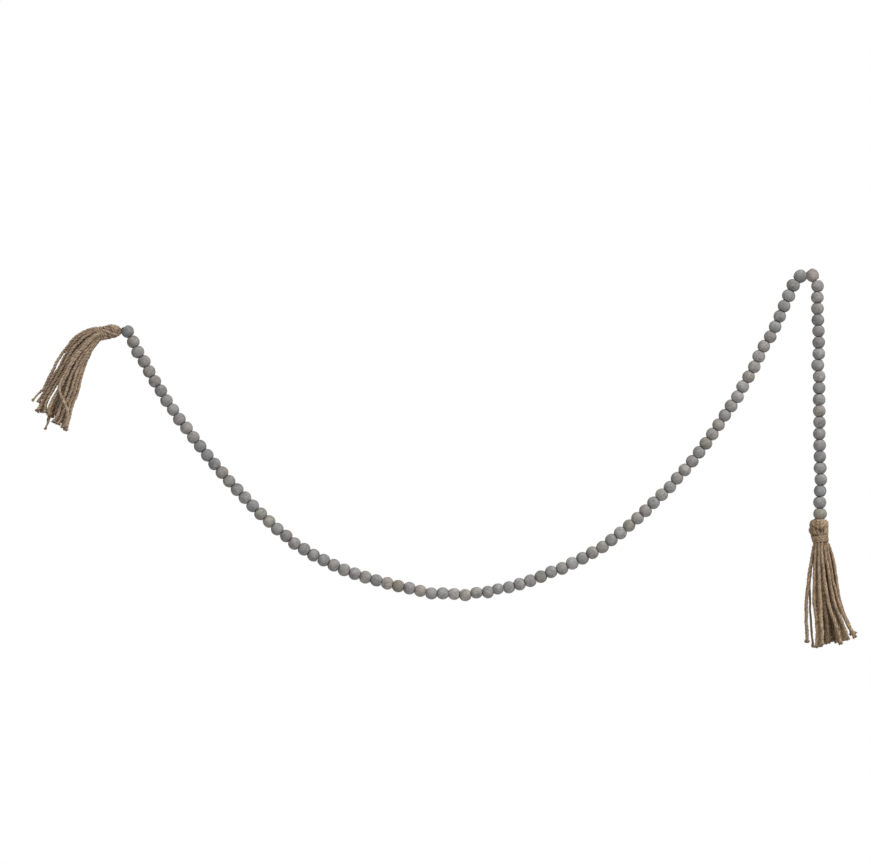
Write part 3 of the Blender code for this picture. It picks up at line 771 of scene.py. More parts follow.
def unit(vectors):
    """Scales vectors to length one."""
    return vectors / np.maximum(np.linalg.norm(vectors, axis=-1, keepdims=True), 1e-12)


# Beads


def bead_profile():
    """Gives the closed outline of a turned and drilled bead, as (radius, height)."""
    half = TOUCH_HALF_LENGTH
    rim = half - RIM_DROP
    inset = (FACE_RADIUS ** 2 + rim ** 2 - BEAD_RADIUS ** 2) / (2 * (FACE_RADIUS - BEAD_RADIUS))
    arc = BEAD_RADIUS - inset
    limit = math.atan2(rim, FACE_RADIUS - inset)
    outer = [(radius * MM, half - down * MM) for radius, down in FACE_FLAT]
    start = Vector(outer.pop())
    corner = Vector((FACE_RADIUS, rim))
    first = limit - RIM_ARC
    stop = Vector((inset + arc * math.cos(first), arc * math.sin(first)))
    for k in range(RIM_STEPS + 1):
        t = k / RIM_STEPS
        point = start * (1 - t) ** 2 + corner * 2 * t * (1 - t) + stop * t * t
        outer.append((point.x, point.y))
    for k in range(1, SIDE_BANDS + 1):
        angle = first * (1 - k / SIDE_BANDS)
        outer.append((inset + arc * math.cos(angle), arc * math.sin(angle)))
    lower = [(radius, -height) for radius, height in reversed(outer[:-1])]
    drill = [(DRILL_RADIUS, half - DRILL_THROAT), (DRILL_RADIUS + DRILL_FLARE, rim)]
    return np.array(outer + lower + [(radius, -height) for radius, height in reversed(drill)] + drill)


def bead_tones(rng, count):
    """Gives each bead's wash: lightness, warmth and how much bare wood shows."""
    light = 1.0 + LIGHT_SPREAD * rng.standard_normal(count)
    warm = WARM_MIDDLE + rng.standard_normal(count) * WARM_SPREAD
    bare = np.clip(rng.gamma(BARE_SHAPE, BARE_SCALE, count), 0, BARE_MOST)
    return np.clip(light, *LIGHT_LIMITS), np.clip(warm, *WARM_LIMITS), bare


def add_bead(build, profile, middle, way, rng, tones, own_size, stretch, settled):
    """Adds one bead, a little out of true as turned beads are, and off its place if not settled."""
    sides = SHELL_SIDES
    theta = np.arange(sides) * 2 * math.pi / sides
    radius = profile[:, 0][:, None]
    height = profile[:, 1][:, None] * stretch + 0 * theta[None, :]
    body = np.clip((radius - FACE_RADIUS * 0.9) / (1.5 * MM), 0, 1)
    up = height / BEAD_HALF_LENGTH
    size = own_size + SIZE_SPREAD * rng.standard_normal()
    egg = EGG_SPREAD * rng.standard_normal()
    oval = OVAL_SPREAD * rng.standard_normal()
    turn = rng.uniform(0, math.pi)
    swell = size - 1.0 + egg * up + oval * np.cos(2 * (theta - turn)[None, :])
    reach = radius * (1.0 + body * swell)
    local = np.stack([reach * np.cos(theta), reach * np.sin(theta), height], -1)
    way_out = unit(local)
    dent = np.zeros(local.shape[:2])
    for scale, deep in DENTS:
        wave = rng.standard_normal(3) * scale
        dent += deep * MM * np.sin(way_out @ wave + rng.uniform(0, ANY_ANGLE))
    local = local + way_out * (dent * body)[..., None]

    if rng.random() < WILD_GRAIN:
        grain = Euler(rng.uniform(0, ANY_ANGLE, 3))
    else:
        grain = Euler((*rng.normal(0, GRAIN_LEAN, 2), rng.uniform(0, ANY_ANGLE)))
    pattern = (local.reshape(-1, 3) / MM) @ np.array(grain.to_matrix()).T + rng.uniform(-90, 90, 3)

    turned = Vector((0, 0, 1)).rotation_difference(way).to_matrix()
    rock = Euler((*rng.normal(0, ROCK_SPREAD, 2), rng.uniform(0, ANY_ANGLE))).to_matrix()
    place = np.array(turned @ rock)
    shift = np.array(turned @ Vector((*rng.normal(0, PLAY_SPREAD, 2), 0))) * MM
    points = local.reshape(-1, 3) @ place.T + np.array(middle) + (0 if settled else shift)
    # The face value is painted shade where beads touch; the hole value marks the worn raw rim of the hole.
    contact_shade = np.clip(1.0 - (radius - FACE_RADIUS) / WEAR_AND_SHADE_WIDTH, 0, 1) + 0 * theta[None, :]
    edge = np.clip(1.0 - (radius - DRILL_RADIUS) / WEAR_AND_SHADE_WIDTH, 0, 1) + 0 * theta[None, :]
    faces = ring_faces(len(profile), sides, True)[:, ::-1]
    tones = {name: np.full(len(points), tone) for name, tone in zip(("light", "warm", "bare", "hue"), tones)}
    build.add(points, [faces], pattern=pattern, hole=edge.ravel(), face=contact_shade.ravel(), **tones)


# Twine


def resample(points, step):
    """Gives points at equal steps along a line, and how far along each is."""
    points = np.array(points, float)
    lengths = np.concatenate(([0], np.cumsum(np.linalg.norm(np.diff(points, axis=0), axis=1))))
    count = max(int(round(lengths[-1] / step)), 4)
    along = np.linspace(0, lengths[-1], count + 1)
    line = np.stack([np.interp(along, lengths, points[:, k]) for k in range(3)], 1)
    return line, along


def line_frames(line):
    """Gives a line's directions and two sides that turn as little as they can."""
    ways = unit(np.gradient(line, axis=0))
    side = np.cross(ways[0], (0.31, 0.84, 0.44))
    sides = []
    for way in ways:
        side = side - way * (side @ way)
        side = side / np.linalg.norm(side)
        sides.append(side)
    sides = np.array(sides)
    return ways, sides, np.cross(ways, sides)


def slow_noise(rng, along, length, size):
    """Gives a smooth wandering value along a line."""
    total = np.zeros_like(along)
    for k in range(3):
        wave = length / (1 + 0.9 * k) * rng.uniform(0.8, 1.25)
        total += np.sin(along * 2 * math.pi / wave + rng.uniform(0, ANY_ANGLE)) / (1 + k)
    return total * size / 1.6


def add_ply(build, line, out, radius, along, sides, shade, offset, hidden, worn):
    """Adds one ply: a tube along a line, out being its side that faces outward."""
    ways = unit(np.gradient(line, axis=0))
    out = unit(out - ways * (out * ways).sum(1, keepdims=True))
    side = np.cross(ways, out)
    angles = np.arange(sides) * 2 * math.pi / sides
    cos, sin = np.cos(angles), np.sin(angles)
    spread = out[:, None] * cos[None, :, None] + side[:, None] * sin[None, :, None]
    rings = line[:, None] + spread * radius[:, None, None]
    count = len(line)
    points = np.concatenate([rings.reshape(-1, 3), line[:1], line[-1:]])
    # The ridge is painted shade on the inner side of each ply, where plies meet; worn twine gets less of it.
    ridge = np.concatenate([np.tile(0.5 + 0.5 * cos, count), [0.3, 0.45]])
    ridge = ridge + (WORN_RIDGE - ridge) * worn
    pace = along / MM * STREAK_PACE
    streak = np.stack([np.tile(cos, count), np.tile(sin, count), np.repeat(pace, sides)], 1)
    streak = np.concatenate([streak, [[0, 0, 0], [0, 0, pace[-1]]]]) + offset
    build.add(
        points,
        tube_faces(count, sides),
        streak=streak,
        ridge=ridge,
        shade=np.concatenate([np.repeat(shade, sides), [0.3, 0.3]]),
        # Painted shade where other lengths lie against this ply.
        crowd=hidden(points),
    )


def add_fibres(build, bases, ways, curls, lengths, radius, shades, rng):
    """Adds loose fibres: thin tapered hairs that bend over their length."""
    count = len(bases)
    if count == 0:
        return
    side = unit(np.cross(ways, rng.standard_normal((count, 3))))
    other = unit(np.cross(ways, side))
    rings = []
    for t, thin in ((0.0, 1.0), (0.55, 0.75)):
        centre = bases + ways * (lengths * t)[:, None] + curls * (lengths * t * t)[:, None]
        for k in range(3):
            angle = 2 * math.pi * k / 3
            rings.append(centre + (side * math.cos(angle) + other * math.sin(angle)) * radius * thin)
    rings.append(bases + ways * lengths[:, None] + curls * lengths[:, None])
    points = np.stack(rings, 1).reshape(-1, 3)
    first = (np.arange(count) * 7)[:, None]
    quads = np.array([[0, 1, 4, 3], [1, 2, 5, 4], [2, 0, 3, 5]])
    tips = np.array([[3, 4, 6], [4, 5, 6], [5, 3, 6]])
    build.add(
        points,
        [(first[:, :, None] + quads[None]).reshape(-1, 4), (first[:, :, None] + tips[None]).reshape(-1, 3)],
        streak=np.repeat(rng.uniform(-50, 50, (count, 3)), 7, 0),
        # Painted shade at each fibre's root, fading to a lighter tip.
        ridge=np.tile([0.6, 0.6, 0.6, 0.8, 0.8, 0.8, 1.0], count),
        shade=np.repeat(shades, 7),
        crowd=np.zeros(count * 7),
    )


def shade_from_neighbours(line, reach, others, strength):
    """Gives a function that tells how much painted shade a strand's points get from others that lie against
    it.
    """
    near = []
    for other, radius in others:
        gap = np.linalg.norm(line[:, None] - other[None], axis=2)
        index = gap.argmin(1)
        toward = other[index] - line
        distance = gap[np.arange(len(line)), index]
        close = np.clip((CLOSE_FROM - distance / (reach + radius)) / CLOSE_RANGE, 0, 1)
        if close.max() > 0:
            near.append((unit(toward), close))

    def at(points):
        count = len(line)
        sides = (len(points) - 2) // count
        rings = points[:count * sides].reshape(count, sides, 3)
        out = unit(rings - line[:, None])
        open_share = np.ones((count, sides))
        for toward, close in near:
            facing = (out * toward[:, None]).sum(2)
            facing = np.clip((facing - FACING_FROM) / FACING_RANGE, 0, 1)
            open_share *= 1.0 - facing * close[:, None]
        hidden = (1.0 - open_share) * strength
        return np.concatenate([hidden.ravel(), [hidden[0].mean(), hidden[-1].mean()]])

    return at


def nothing_near(points):
    """Gives no painted shade to any point."""
    return np.zeros(len(points))


def between_turns(line, axis):
    """Gives painted shade for a wound length, where its turns lie side by side along an axis."""

    def at(points):
        count = len(line)
        rings = points[:-2].reshape(count, -1, 3)
        facing = np.abs(unit(rings - line[:, None]) @ np.array(axis))
        hidden = np.clip((facing - 0.4) / 0.5, 0, 1) * 0.75
        return np.concatenate([hidden.ravel(), [0.5, 0.5]])

    return at


def add_tuft(build, spot, way, aside, spread, tone, rng):
    """Adds the blunt tuft of a cut end: short thick fibres that spread a little."""
    number = len(spot)
    aside = unit(aside - way * (aside @ way)[:, None])
    bases = spot + aside * (rng.random(number)[:, None] ** 0.5) * spread
    lean = aside * rng.uniform(0, TUFT_LEAN, number)[:, None]
    lengths = np.minimum(rng.gamma(5.0, 0.24, number), TUFT_LONGEST) * MM
    curls = aside * rng.uniform(*TUFT_CURLS, number)[:, None]
    radius = rng.uniform(*TUFT_RADII, number)[:, None] * MM
    tones = tone + rng.normal(*TUFT_TONES, number)
    add_fibres(build, bases, unit(way + lean), curls, lengths, radius, tones, rng)


def add_twine(
    build, points, radius, rng, shade, turn=TWINE_TURN, step=TWINE_STEP, frayed=False, fuzz=0.6, plies=3,
    sides=PLY_SIDES, start_thin=1.0, end_thin=FULL_END, others=(), wound=None, strength=1.0, worn=0.0,
):
    """Adds one length of twisted twine along a line, with loose fibres, and frayed where it is cut."""
    line, along = resample(points, step)
    total = along[-1]
    ways, side, other = line_frames(line)
    if frayed:
        ease = np.clip(along / WANDER_START, 0, 1)
        line = line + side * (slow_noise(rng, along, *WANDER_SIDE) * ease)[:, None]
        line = line + other * (slow_noise(rng, along, *WANDER_OTHER) * ease)[:, None]
    # Painted shade where other lengths lie against this one, and between the turns of a wound length.
    hidden = nothing_near
    if others:
        hidden = shade_from_neighbours(line, radius, others, strength)
    if wound is not None:
        hidden = between_turns(line, wound)
    fray = np.clip((along - total + FRAY_LENGTH) / FRAY_LENGTH, 0, 1) * frayed
    thin = start_thin + (1 - start_thin) * np.clip(along / START_LENGTH, 0, 1)
    thin = thin * (1.0 + slow_noise(rng, along, *THICKNESS_WAVE))
    share, reach = end_thin
    near_end = np.clip((along - total + reach * MM) / (0.44 * reach * MM), 0, 1)
    thin = thin * (1.0 - (1.0 - share) * near_end)
    phase = rng.uniform(0, ANY_ANGLE)
    spin = phase + 2 * math.pi * along / (turn * rng.uniform(0.86, 1.18))
    spin = spin + slow_noise(rng, along, *SPIN_WAVE)
    for k in range(plies):
        angle = spin + 2 * math.pi * k / plies
        out = side * np.cos(angle)[:, None] + other * np.sin(angle)[:, None]
        own = radius * (PLY_SHARE + PLY_SHARE_WORN * worn) * thin
        own = own * (1.0 + slow_noise(rng, along, *PLY_WAVE))
        away = (radius * thin - own) * (1.0 + 1.5 * fray ** 2)
        ply = line + out * away[:, None]
        offset = rng.uniform(-60, 60, 3)
        tone = shade + rng.normal(0, 0.05) + slow_noise(rng, along, *TONE_WAVE)
        own_radius, own_tone = own * (1.0 + 0.1 * fray), tone - 0.12 * fray
        add_ply(build, ply, out, own_radius, along, sides, own_tone, offset, hidden, worn)
        if frayed:
            hairs = int(END_HAIRS * min(1.0, (own[-1] / END_HAIRS_RADIUS) ** 2))
            spot = ply[-rng.integers(1, 4, hairs)]
            aside = rng.standard_normal((hairs, 3))
            add_tuft(build, spot, ways[-1], aside, own[-1] * 1.05, shade, rng)
    number = int(total / MM * fuzz)
    if number:
        where = rng.integers(1, len(line) - 1, number)
        angle = rng.uniform(0, ANY_ANGLE, number)
        out = side[where] * np.cos(angle)[:, None] + other[where] * np.sin(angle)[:, None]
        bases = line[where] + out * (radius * thin[where] * 0.9)[:, None]
        sense = np.where(rng.random(number) < FORWARD_FIBRES, 1.0, -1.0)[:, None]
        lean = out * rng.gamma(1.5, 0.16, number)[:, None]
        stray = rng.standard_normal((number, 3)) * 0.18
        ways_out = unit(ways[where] * sense + lean + stray)
        curls = unit(rng.standard_normal((number, 3))) * rng.uniform(*FIBRE_CURLS, number)[:, None]
        lengths = rng.uniform(*FIBRE_LENGTHS, number) * MM
        tones = shade + rng.normal(*FIBRE_TONES, number)
        add_fibres(build, bases, ways_out, curls, lengths, FIBRE_RADIUS, tones, rng)


def add_core(build, top, axis, rows):
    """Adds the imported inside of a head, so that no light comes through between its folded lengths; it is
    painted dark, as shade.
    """
    angles = np.arange(CORE_SIDES) * 2 * math.pi / CORE_SIDES
    rings = []
    for down, across, radius in rows:
        ring = [(across + radius * math.cos(a), radius * math.sin(a), down) for a in angles]
        rings.append(np.array(across_head(top, axis, ring)))
    points = np.concatenate(rings + [rings[0].mean(0)[None], rings[-1].mean(0)[None]])
    number = len(points)
    build.add(
        points,
        tube_faces(len(rings), CORE_SIDES),
        streak=points / MM * 0.5,
        # The inside is painted dark all over, as shade.
        ridge=np.full(number, 0.1),
        shade=np.full(number, 0.2),
        crowd=np.full(number, 0.85),
    )


# Materials


class Nodes:
    """A short way to write a material's nodes."""

    def __init__(self, name):
        self.material = bpy.data.materials.new(name)
        self.material.use_nodes = True
        self.tree = self.material.node_tree

    def fill(self, node, inputs):
        """Fills a node's inputs with values or links."""
        for key, value in inputs.items():
            if isinstance(value, bpy.types.NodeSocket):
                self.tree.links.new(value, node.inputs[key])
            else:
                node.inputs[key].default_value = value

    def add(self, kind, inputs, **settings):
        """Adds a node with its properties and inputs, and gives its outputs."""
        node = self.tree.nodes.new(kind)
        for key, value in settings.items():
            setattr(node, key, value)
        self.fill(node, inputs)
        return node.outputs

    def attribute(self, name, output="Fac"):
        """Reads a point attribute."""
        return self.add("ShaderNodeAttribute", {}, attribute_name=name)[output]

    def math(self, operation, a, b, clamp=False):
        """Does one step of arithmetic, kept between 0 and 1 if clamp is set."""
        return self.add("ShaderNodeMath", {0: a, 1: b}, operation=operation, use_clamp=clamp)[0]

    def plus(self, a, b, clamp=False):
        """Adds two values."""
        return self.math("ADD", a, b, clamp)

    def times(self, a, b, clamp=False):
        """Multiplies two values."""
        return self.math("MULTIPLY", a, b, clamp)

    def above(self, value, start, gain, clamp=True):
        """Gives how far a value lies above a start, times a gain."""
        return self.times(self.math("SUBTRACT", value, start), gain, clamp)

    def noise(self, vector, scale, detail=2.0, rough=0.5, warp=0.0):
        """Gives a noise value."""
        return self.add("ShaderNodeTexNoise", {
            "Vector": vector, "Scale": scale, "Detail": detail, "Roughness": rough, "Distortion": warp,
        })["Fac"]

    def ramp(self, value, *stops):
        """Turns a value into a colour by a ramp of stops, each a position and a colour."""
        node = self.tree.nodes.new("ShaderNodeValToRGB")
        self.fill(node, {"Fac": value})
        elements = node.color_ramp.elements
        while len(elements) < len(stops):
            elements.new(0.5)
        for element, (position, colour) in zip(elements, stops):
            element.position = position
            element.color = (*colour, 1)
        return node.outputs["Color"]

    def mix(self, factor, a, b, blend="MIX"):
        """Mixes a colour with another, which may be a link or three values."""
        if isinstance(b, tuple):
            b = (*b, 1)
        return self.add("ShaderNodeMix", {0: factor, 6: a, 7: b}, data_type="RGBA", blend_type=blend)[2]

    def tone(self, colour, by, factor=1.0):
        """Multiplies a colour by another."""
        return self.mix(factor, colour, by, "MULTIPLY")

    def stretch(self, vector, scale):
        """Scales a vector."""
        return self.add("ShaderNodeVectorMath", {0: vector, 1: scale}, operation="MULTIPLY")[0]

    def finish(self, inputs, relief=None, depth=0, strength=1):
        """Fills the shader's inputs, with a bump from a relief, and gives the material."""
        shader = self.tree.nodes["Principled BSDF"]
        self.fill(shader, inputs)
        if relief is not None:
            bump = self.add("ShaderNodeBump", {"Height": relief, "Distance": depth, "Strength": strength})
            self.fill(shader, {"Normal": bump["Normal"]})
        return self.material


def washed_wood():
    """Turned wood under a thin chalky grey wash."""
    n = Nodes("washed_wood")
    place = n.attribute("pattern", "Vector")
    light = n.attribute("light")

    # The wash goes from bluish through grey to warm by the bead, clouded where it is thin.
    wash = n.ramp(
        n.plus(n.times(n.attribute("warm"), 0.4), 0.5, True),
        (0.1, (0.2565, 0.2605, 0.2695)), (0.5, (0.2695, 0.2655, 0.2625)), (1, (0.305, 0.268, 0.222)),
    )
    cloud = n.ramp(
        n.noise(place, 0.17, 3, 0.6, 0.5), (0.25, (0.66, 0.665, 0.68)), (0.75, (1.28, 1.275, 1.25)),
    )
    mottle = n.ramp(
        n.noise(place, 0.46, 2, 0.55, 0.3), (0.25, (0.75, 0.76, 0.77)), (0.75, (1.21, 1.2, 1.19)),
    )
    hue = n.plus(n.times(n.noise(place, 0.13, 1), 0.6), 0.2)
    hue = n.plus(hue, n.times(n.attribute("hue"), 0.22))
    tint = n.ramp(hue, (0.25, (1.05, 0.98, 0.975)), (0.5, (1, 1, 1)), (0.75, (0.985, 1.02, 0.96)))
    colour = n.tone(n.tone(n.tone(wash, cloud), mottle), tint)

    # Bare wood shows through in soft patches.
    patch = n.above(n.noise(place, 0.115, 2, 0.5, 0.6), 0.46, 4.5)
    patch = n.times(patch, n.attribute("bare"), True)
    colour = n.mix(n.times(patch, 0.6), colour, (0.355, 0.272, 0.195))

    # Grain runs along the wood as fine streaks and short dark pores.
    streak = n.noise(n.stretch(place, (1, 1, 0.11)), 1.5, 3, 0.6, 0.25)
    streak_tone = n.ramp(streak, (0.3, (0.82, 0.815, 0.81)), (0.62, (1.06, 1.06, 1.06)))
    colour = n.tone(colour, streak_tone, 0.85)
    pores = n.above(n.noise(n.stretch(place, (1, 1, 0.2)), 4.2), 0.63, 7)
    colour = n.mix(n.times(pores, 0.45), colour, (0.1, 0.09, 0.08))

    # Chalky specks of pigment, painted shade on the faces where beads touch, and the raw rim of the hole.
    speck = n.above(n.noise(place, 2.6, 2, 0.6), 0.6, 5)
    colour = n.mix(n.times(speck, 0.28), colour, (0.48, 0.475, 0.46))
    painted_contact_shade = n.times(n.attribute("face"), n.plus(streak, 0.25), True)
    colour = n.mix(painted_contact_shade, colour, (0.065, 0.055, 0.048))
    worn = n.times(n.attribute("hole"), n.plus(streak, 0.35), True)
    colour = n.mix(worn, colour, (0.3, 0.22, 0.14))
    # Each bead's own lightness, which for the first bead holds painted shade from the left tassel.
    colour = n.tone(colour, n.add("ShaderNodeCombineColor", {0: light, 1: light, 2: light})[0])

    rough = n.plus(n.times(cloud, 0.12), n.times(streak, 0.2))
    relief = n.plus(n.times(streak, 0.8), n.times(n.noise(place, 1.1, 4, 0.6), 0.8))
    relief = n.math("SUBTRACT", relief, n.times(pores, 0.9))
    inputs = {"Base Color": colour, "Roughness": n.plus(rough, 0.5, True), "Specular IOR Level": 0.3}
    return n.finish(inputs, relief, 0.18 * MM, 0.75)


def jute(name, dark, middle, light, deep, fibre_scale=1.5, contrast=1.0):
    """Spun bast fibre: streaks along each ply, and painted shade where plies meet and where strands lie
    together.
    """
    n = Nodes(name)
    place = n.attribute("streak", "Vector")
    fibre = n.noise(place, fibre_scale, 4, 0.66, 0.3)
    fine = n.noise(place, fibre_scale * 3.9, 2, 0.6)
    blotch = n.noise(n.stretch(place, (1, 1, 2.4)), fibre_scale * 0.5, 2, 0.55)
    value = n.plus(n.above(fibre, 0.5, 1.5 * contrast, False), n.above(fine, 0.5, 0.5, False))
    value = n.plus(value, n.above(blotch, 0.5, 1.5 * contrast, False))
    # Painted shade on the inner side of each ply, where plies meet.
    value = n.plus(value, n.above(n.attribute("ridge"), WORN_RIDGE, 0.75, False))
    value = n.plus(value, n.attribute("shade"), True)
    colour = n.ramp(value, (0.1, dark), (0.5, middle), (0.88, light))
    hue = n.noise(place, 0.5, 1)
    tint = n.ramp(hue, (0.3, (1.025, 0.985, 1.01)), (0.5, (1, 1, 1)), (0.7, (0.995, 1, 0.93)))
    # Painted shade where other lengths lie against this one, and in the hollows and inside of a head.
    colour = n.mix(n.times(n.attribute("crowd"), 0.86, True), n.tone(colour, tint), deep)
    inputs = {
        "Base Color": colour, "Roughness": n.plus(n.times(fibre, 0.25), 0.68, True),
        "Specular IOR Level": 0.2, "Sheen Weight": 0.08, "Sheen Roughness": 0.6,
    }
    return n.finish(inputs, n.plus(fibre, n.times(fine, 0.6)), 0.3 * MM, 0.9)


def plain_floor():
    """A pale matt floor with the faintest unevenness."""
    n = Nodes("pale_floor")
    place = n.add("ShaderNodeTexCoord", {})["Object"]
    tone = n.ramp(n.noise(place, 0.8, 3), (0.3, (0.8, 0.8, 0.8)), (0.7, (0.83, 0.83, 0.83)))
    return n.finish({"Base Color": tone, "Roughness": 0.9})


# The pieces


def hand_in(build, name, material, node):
    """Makes a built piece, in its node's place."""
    piece = build.done(name, material)
    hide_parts(node)
    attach(piece, "root")


def by_number(rows, number):
    """Reads a table of numbers and values between its rows."""
    return float(np.interp(number, [row[0] for row in rows], [row[1] for row in rows]))


def bead_places(beads):
    """Gives the middle of each bead by its number, where it has slid along the string or aside."""
    bend = {row[0]: row[1:3] for row in BEND_BEADS}
    shifts = dict(ASIDE)
    spots = {}
    for first, count, middle, way in beads:
        for number in range(first, first + count):
            along = (number - first - (count - 1) / 2) * SWAG_PITCH
            if number in bend:
                right, up = bend[number]
                move = Vector((right, 0, up))
            else:
                along += by_number(SLIDES, number) * MM
                aside = shifts.get(number, 0)
                move = Vector((way.z * aside, 0, -way.x * aside))
            spots[number] = middle + way * along + move * MM
    return spots


def room_for(number, spots):
    """Gives how much longer or shorter a bead is than most, by the room between its neighbours."""
    if number in END_BEADS:
        return 1.0
    room = (spots[number + 1] - spots[number]).length + (spots[number] - spots[number - 1]).length
    return room / 2 / SWAG_PITCH


def make_beads(beads, spots):
    """Builds the beads, one joined mesh for each solid."""
    material = washed_wood()
    profile = bead_profile()
    light, warm, bare = bead_tones(np.random.default_rng(TONES_SEED), BEAD_COUNT + 1)
    sizes, hues, lengths = dict(OWN_SIZES), dict(HUES), {}
    tones = list(OWN_TONES)
    for number, _, _, size, length, *own_tones in BEND_BEADS:
        sizes[number], lengths[number] = size, length
        tones.append((number, *own_tones))
    for number, *own_tones in tones:
        light[number], warm[number], bare[number] = own_tones

    for first, count, _, way in beads:
        build = Build()
        for number in range(first, first + count):
            rng = np.random.default_rng(FIRST_BEAD_SEED + number)
            # For the first bead the lightness holds painted shade from the left tassel.
            wash = (
                light[number] * by_number(LIGHTNESS_TREND, number), warm[number], bare[number],
                hues.get(number, rng.normal(0, HUE_SPREAD)),
            )
            length = lengths.get(number) or room_for(number, spots)
            add_bead(
                build, profile, spots[number], way, rng, wash, sizes.get(number, 1.0), length,
                number in lengths,
            )
        node = "bead_%03d" % first if count == 1 else "beads_%03d_%03d" % (first, first + 1)
        hand_in(build, "wood_" + node, material, node)


def make_string(start, spots, end):
    """Builds the string, drawn close round the first bead and straight from bead to bead."""
    build = Build()
    points = [start + Vector(point) * MM for point in LOOP_SHOWN]
    points += [spots[number] for number in range(1, BEAD_COUNT + 1)] + [end]
    add_twine(build, points, STRING_RADIUS, np.random.default_rng(STRING_SEED), **STRING_TWINE)
    material = jute("cotton_string", *STRING_COLOURS, fibre_scale=2)
    hand_in(build, "string_cord", material, "cord")


def head_at(rows, down):
    """Reads a head's middle and radius at a distance down."""
    downs, middles, radii = zip(*rows)
    return float(np.interp(down, downs, middles)), float(np.interp(down, downs, radii))


def fold_lines(top, axis, rows, rng, count, downs, span, spiral=0):
    """Gives folded lengths round a head, from its top to inside the tie."""
    lines = []
    for i in range(count):
        start = math.radians(span[0] + (span[1] - span[0]) * (i + 0.5) / count)
        points = []
        for down in np.linspace(*downs, FOLD_POINTS):
            middle, radius = head_at(rows, down)
            angle = start + spiral * down / SPIRAL_LENGTH
            reach = max(radius - FOLD_INSET, LEAST_REACH)
            points.append((middle + math.cos(angle) * reach, math.sin(angle) * reach, down))
        points = [Vector(point) + Vector(rng.normal(0, FOLD_STRAY, 3)) for point in points]
        lines.append(np.array(smooth_through(across_head(top, axis, points), 4)))
    return lines


def front_fold_lines(top):
    """Gives the folded lengths that show on the front of the right head."""
    lines = []
    for fold in RIGHT_FOLDS:
        points = []
        for x, z, lift in fold:
            middle, radius = head_at(RIGHT_KNOB, -z)
            reach = max(radius - FOLD_INSET, LEAST_REACH)
            forward = math.sqrt(max(reach * reach - (x - middle) * (x - middle), LEAST_FORWARD))
            points.append(top + Vector((x, -forward - lift, z)) * MM)
        lines.append(np.array(smooth_through(points, 6)))
    return lines


def add_all(build, lines, radii, shades, rng, ends=(), **settings):
    """Adds lengths of twine that know of each other, a few with ends of their own."""
    ends = dict(ends)
    for i, line in enumerate(lines):
        others = [(other[::4], radii[k]) for k, other in enumerate(lines) if k != i]
        add_twine(
            build, line, radii[i], rng, shades[i], others=others, end_thin=ends.get(i, FULL_END), **settings,
        )


def add_head(build, lines, rng, radius, tone, spread, **settings):
    """Adds the folded lengths of a head, each a shade of its own."""
    shades = tone + rng.normal(0, spread, len(lines))
    add_all(build, lines, [radius] * len(lines), shades, rng, **settings)


def add_skirt(build, lines, routes, rng, **settings):
    """Adds the loose strands of a tassel, frayed where they are cut."""
    shades = [row[3] + rng.normal(0, STRAND_TONE_SPREAD) for row in routes]
    radii = [row[2] * MM for row in routes]
    add_all(build, lines, radii, shades, rng, frayed=True, fuzz=1.4, start_thin=0.8, **settings)


def trimmed(points, rng):
    """Makes a strand a little longer or shorter, as the scissors left it."""
    line = np.array(points)
    way = unit(line[-1] - line[-4])
    line[-3:] += way * rng.uniform(-TRIM, TRIM) * np.array([[0.2], [0.5], [1.0]])
    return line


def shade_hollows(build, top, hollows):
    """Paints shade on the twine where the folds of a head leave hollows on the front."""
    for points, crowd in zip(build.points, build.names["crowd"]):
        offset = (points - np.array(top)) / MM
        front = np.clip(-offset[:, 1] / 2, 0, 1)
        for x, z, reach, depth in hollows:
            distance = np.hypot(offset[:, 0] - x, offset[:, 2] - z)
            crowd += (1 - crowd) * depth * front * np.exp(-(distance / reach) ** 2)


def make_right_tassel(top, axis, material):
    """Builds the right tassel: packed core, head and loose strands, as one joined mesh."""
    build = Build()
    rng = np.random.default_rng(RIGHT_SEED)
    add_core(build, top, axis, RIGHT_CORE)
    folds = front_fold_lines(top) + fold_lines(top, axis, RIGHT_KNOB, rng, **RIGHT_SIDE_FOLDS)
    add_head(build, folds, rng, radius=2.0 * MM, tone=0.57, spread=0.05, fuzz=3.6, strength=0.4, worn=0.6)
    behind = np.random.default_rng(RIGHT_BACK_SEED)
    folds = fold_lines(top, axis, RIGHT_KNOB, behind, **RIGHT_BACK_FOLDS)
    add_head(build, folds, behind, radius=2.1 * MM, tone=0.52, spread=0.05, fuzz=3, strength=0.4, worn=0.55)
    shade_hollows(build, top, RIGHT_HOLLOWS)
    lines = [trimmed(right_strand(row, top), rng) for row in RIGHT_ROUTES]
    add_skirt(build, lines, RIGHT_ROUTES, rng, strength=0.68, worn=0.45)
    hand_in(build, "twine_tassel_right", material, "tassel_right")


def make_left_tassel(top, axis, material):
    """Builds the left tassel in the same way."""
    build = Build()
    rng = np.random.default_rng(LEFT_SEED)
    add_core(build, top, axis, LEFT_CORE)
    folds = fold_lines(top, axis, LEFT_KNOB, rng, **LEFT_HEAD_FOLDS)
    add_head(
        build, folds, rng, radius=2.1 * MM, tone=0.51, spread=0.04, fuzz=3, strength=0.36,
        start_thin=0.7, worn=0.75,
    )
    shade_hollows(build, top, LEFT_HOLLOWS)
    lines = []
    for i, row in enumerate(LEFT_ROUTES):
        lines.append(trimmed(left_strand(row, top, axis, LEFT_TAILS.get(i, ())), rng))
    add_skirt(build, lines, LEFT_ROUTES, rng, ends=LEFT_ENDS, turn=13 * MM, strength=0.72, worn=0.6)
    hand_in(build, "twine_tassel_left", material, "tassel_left")


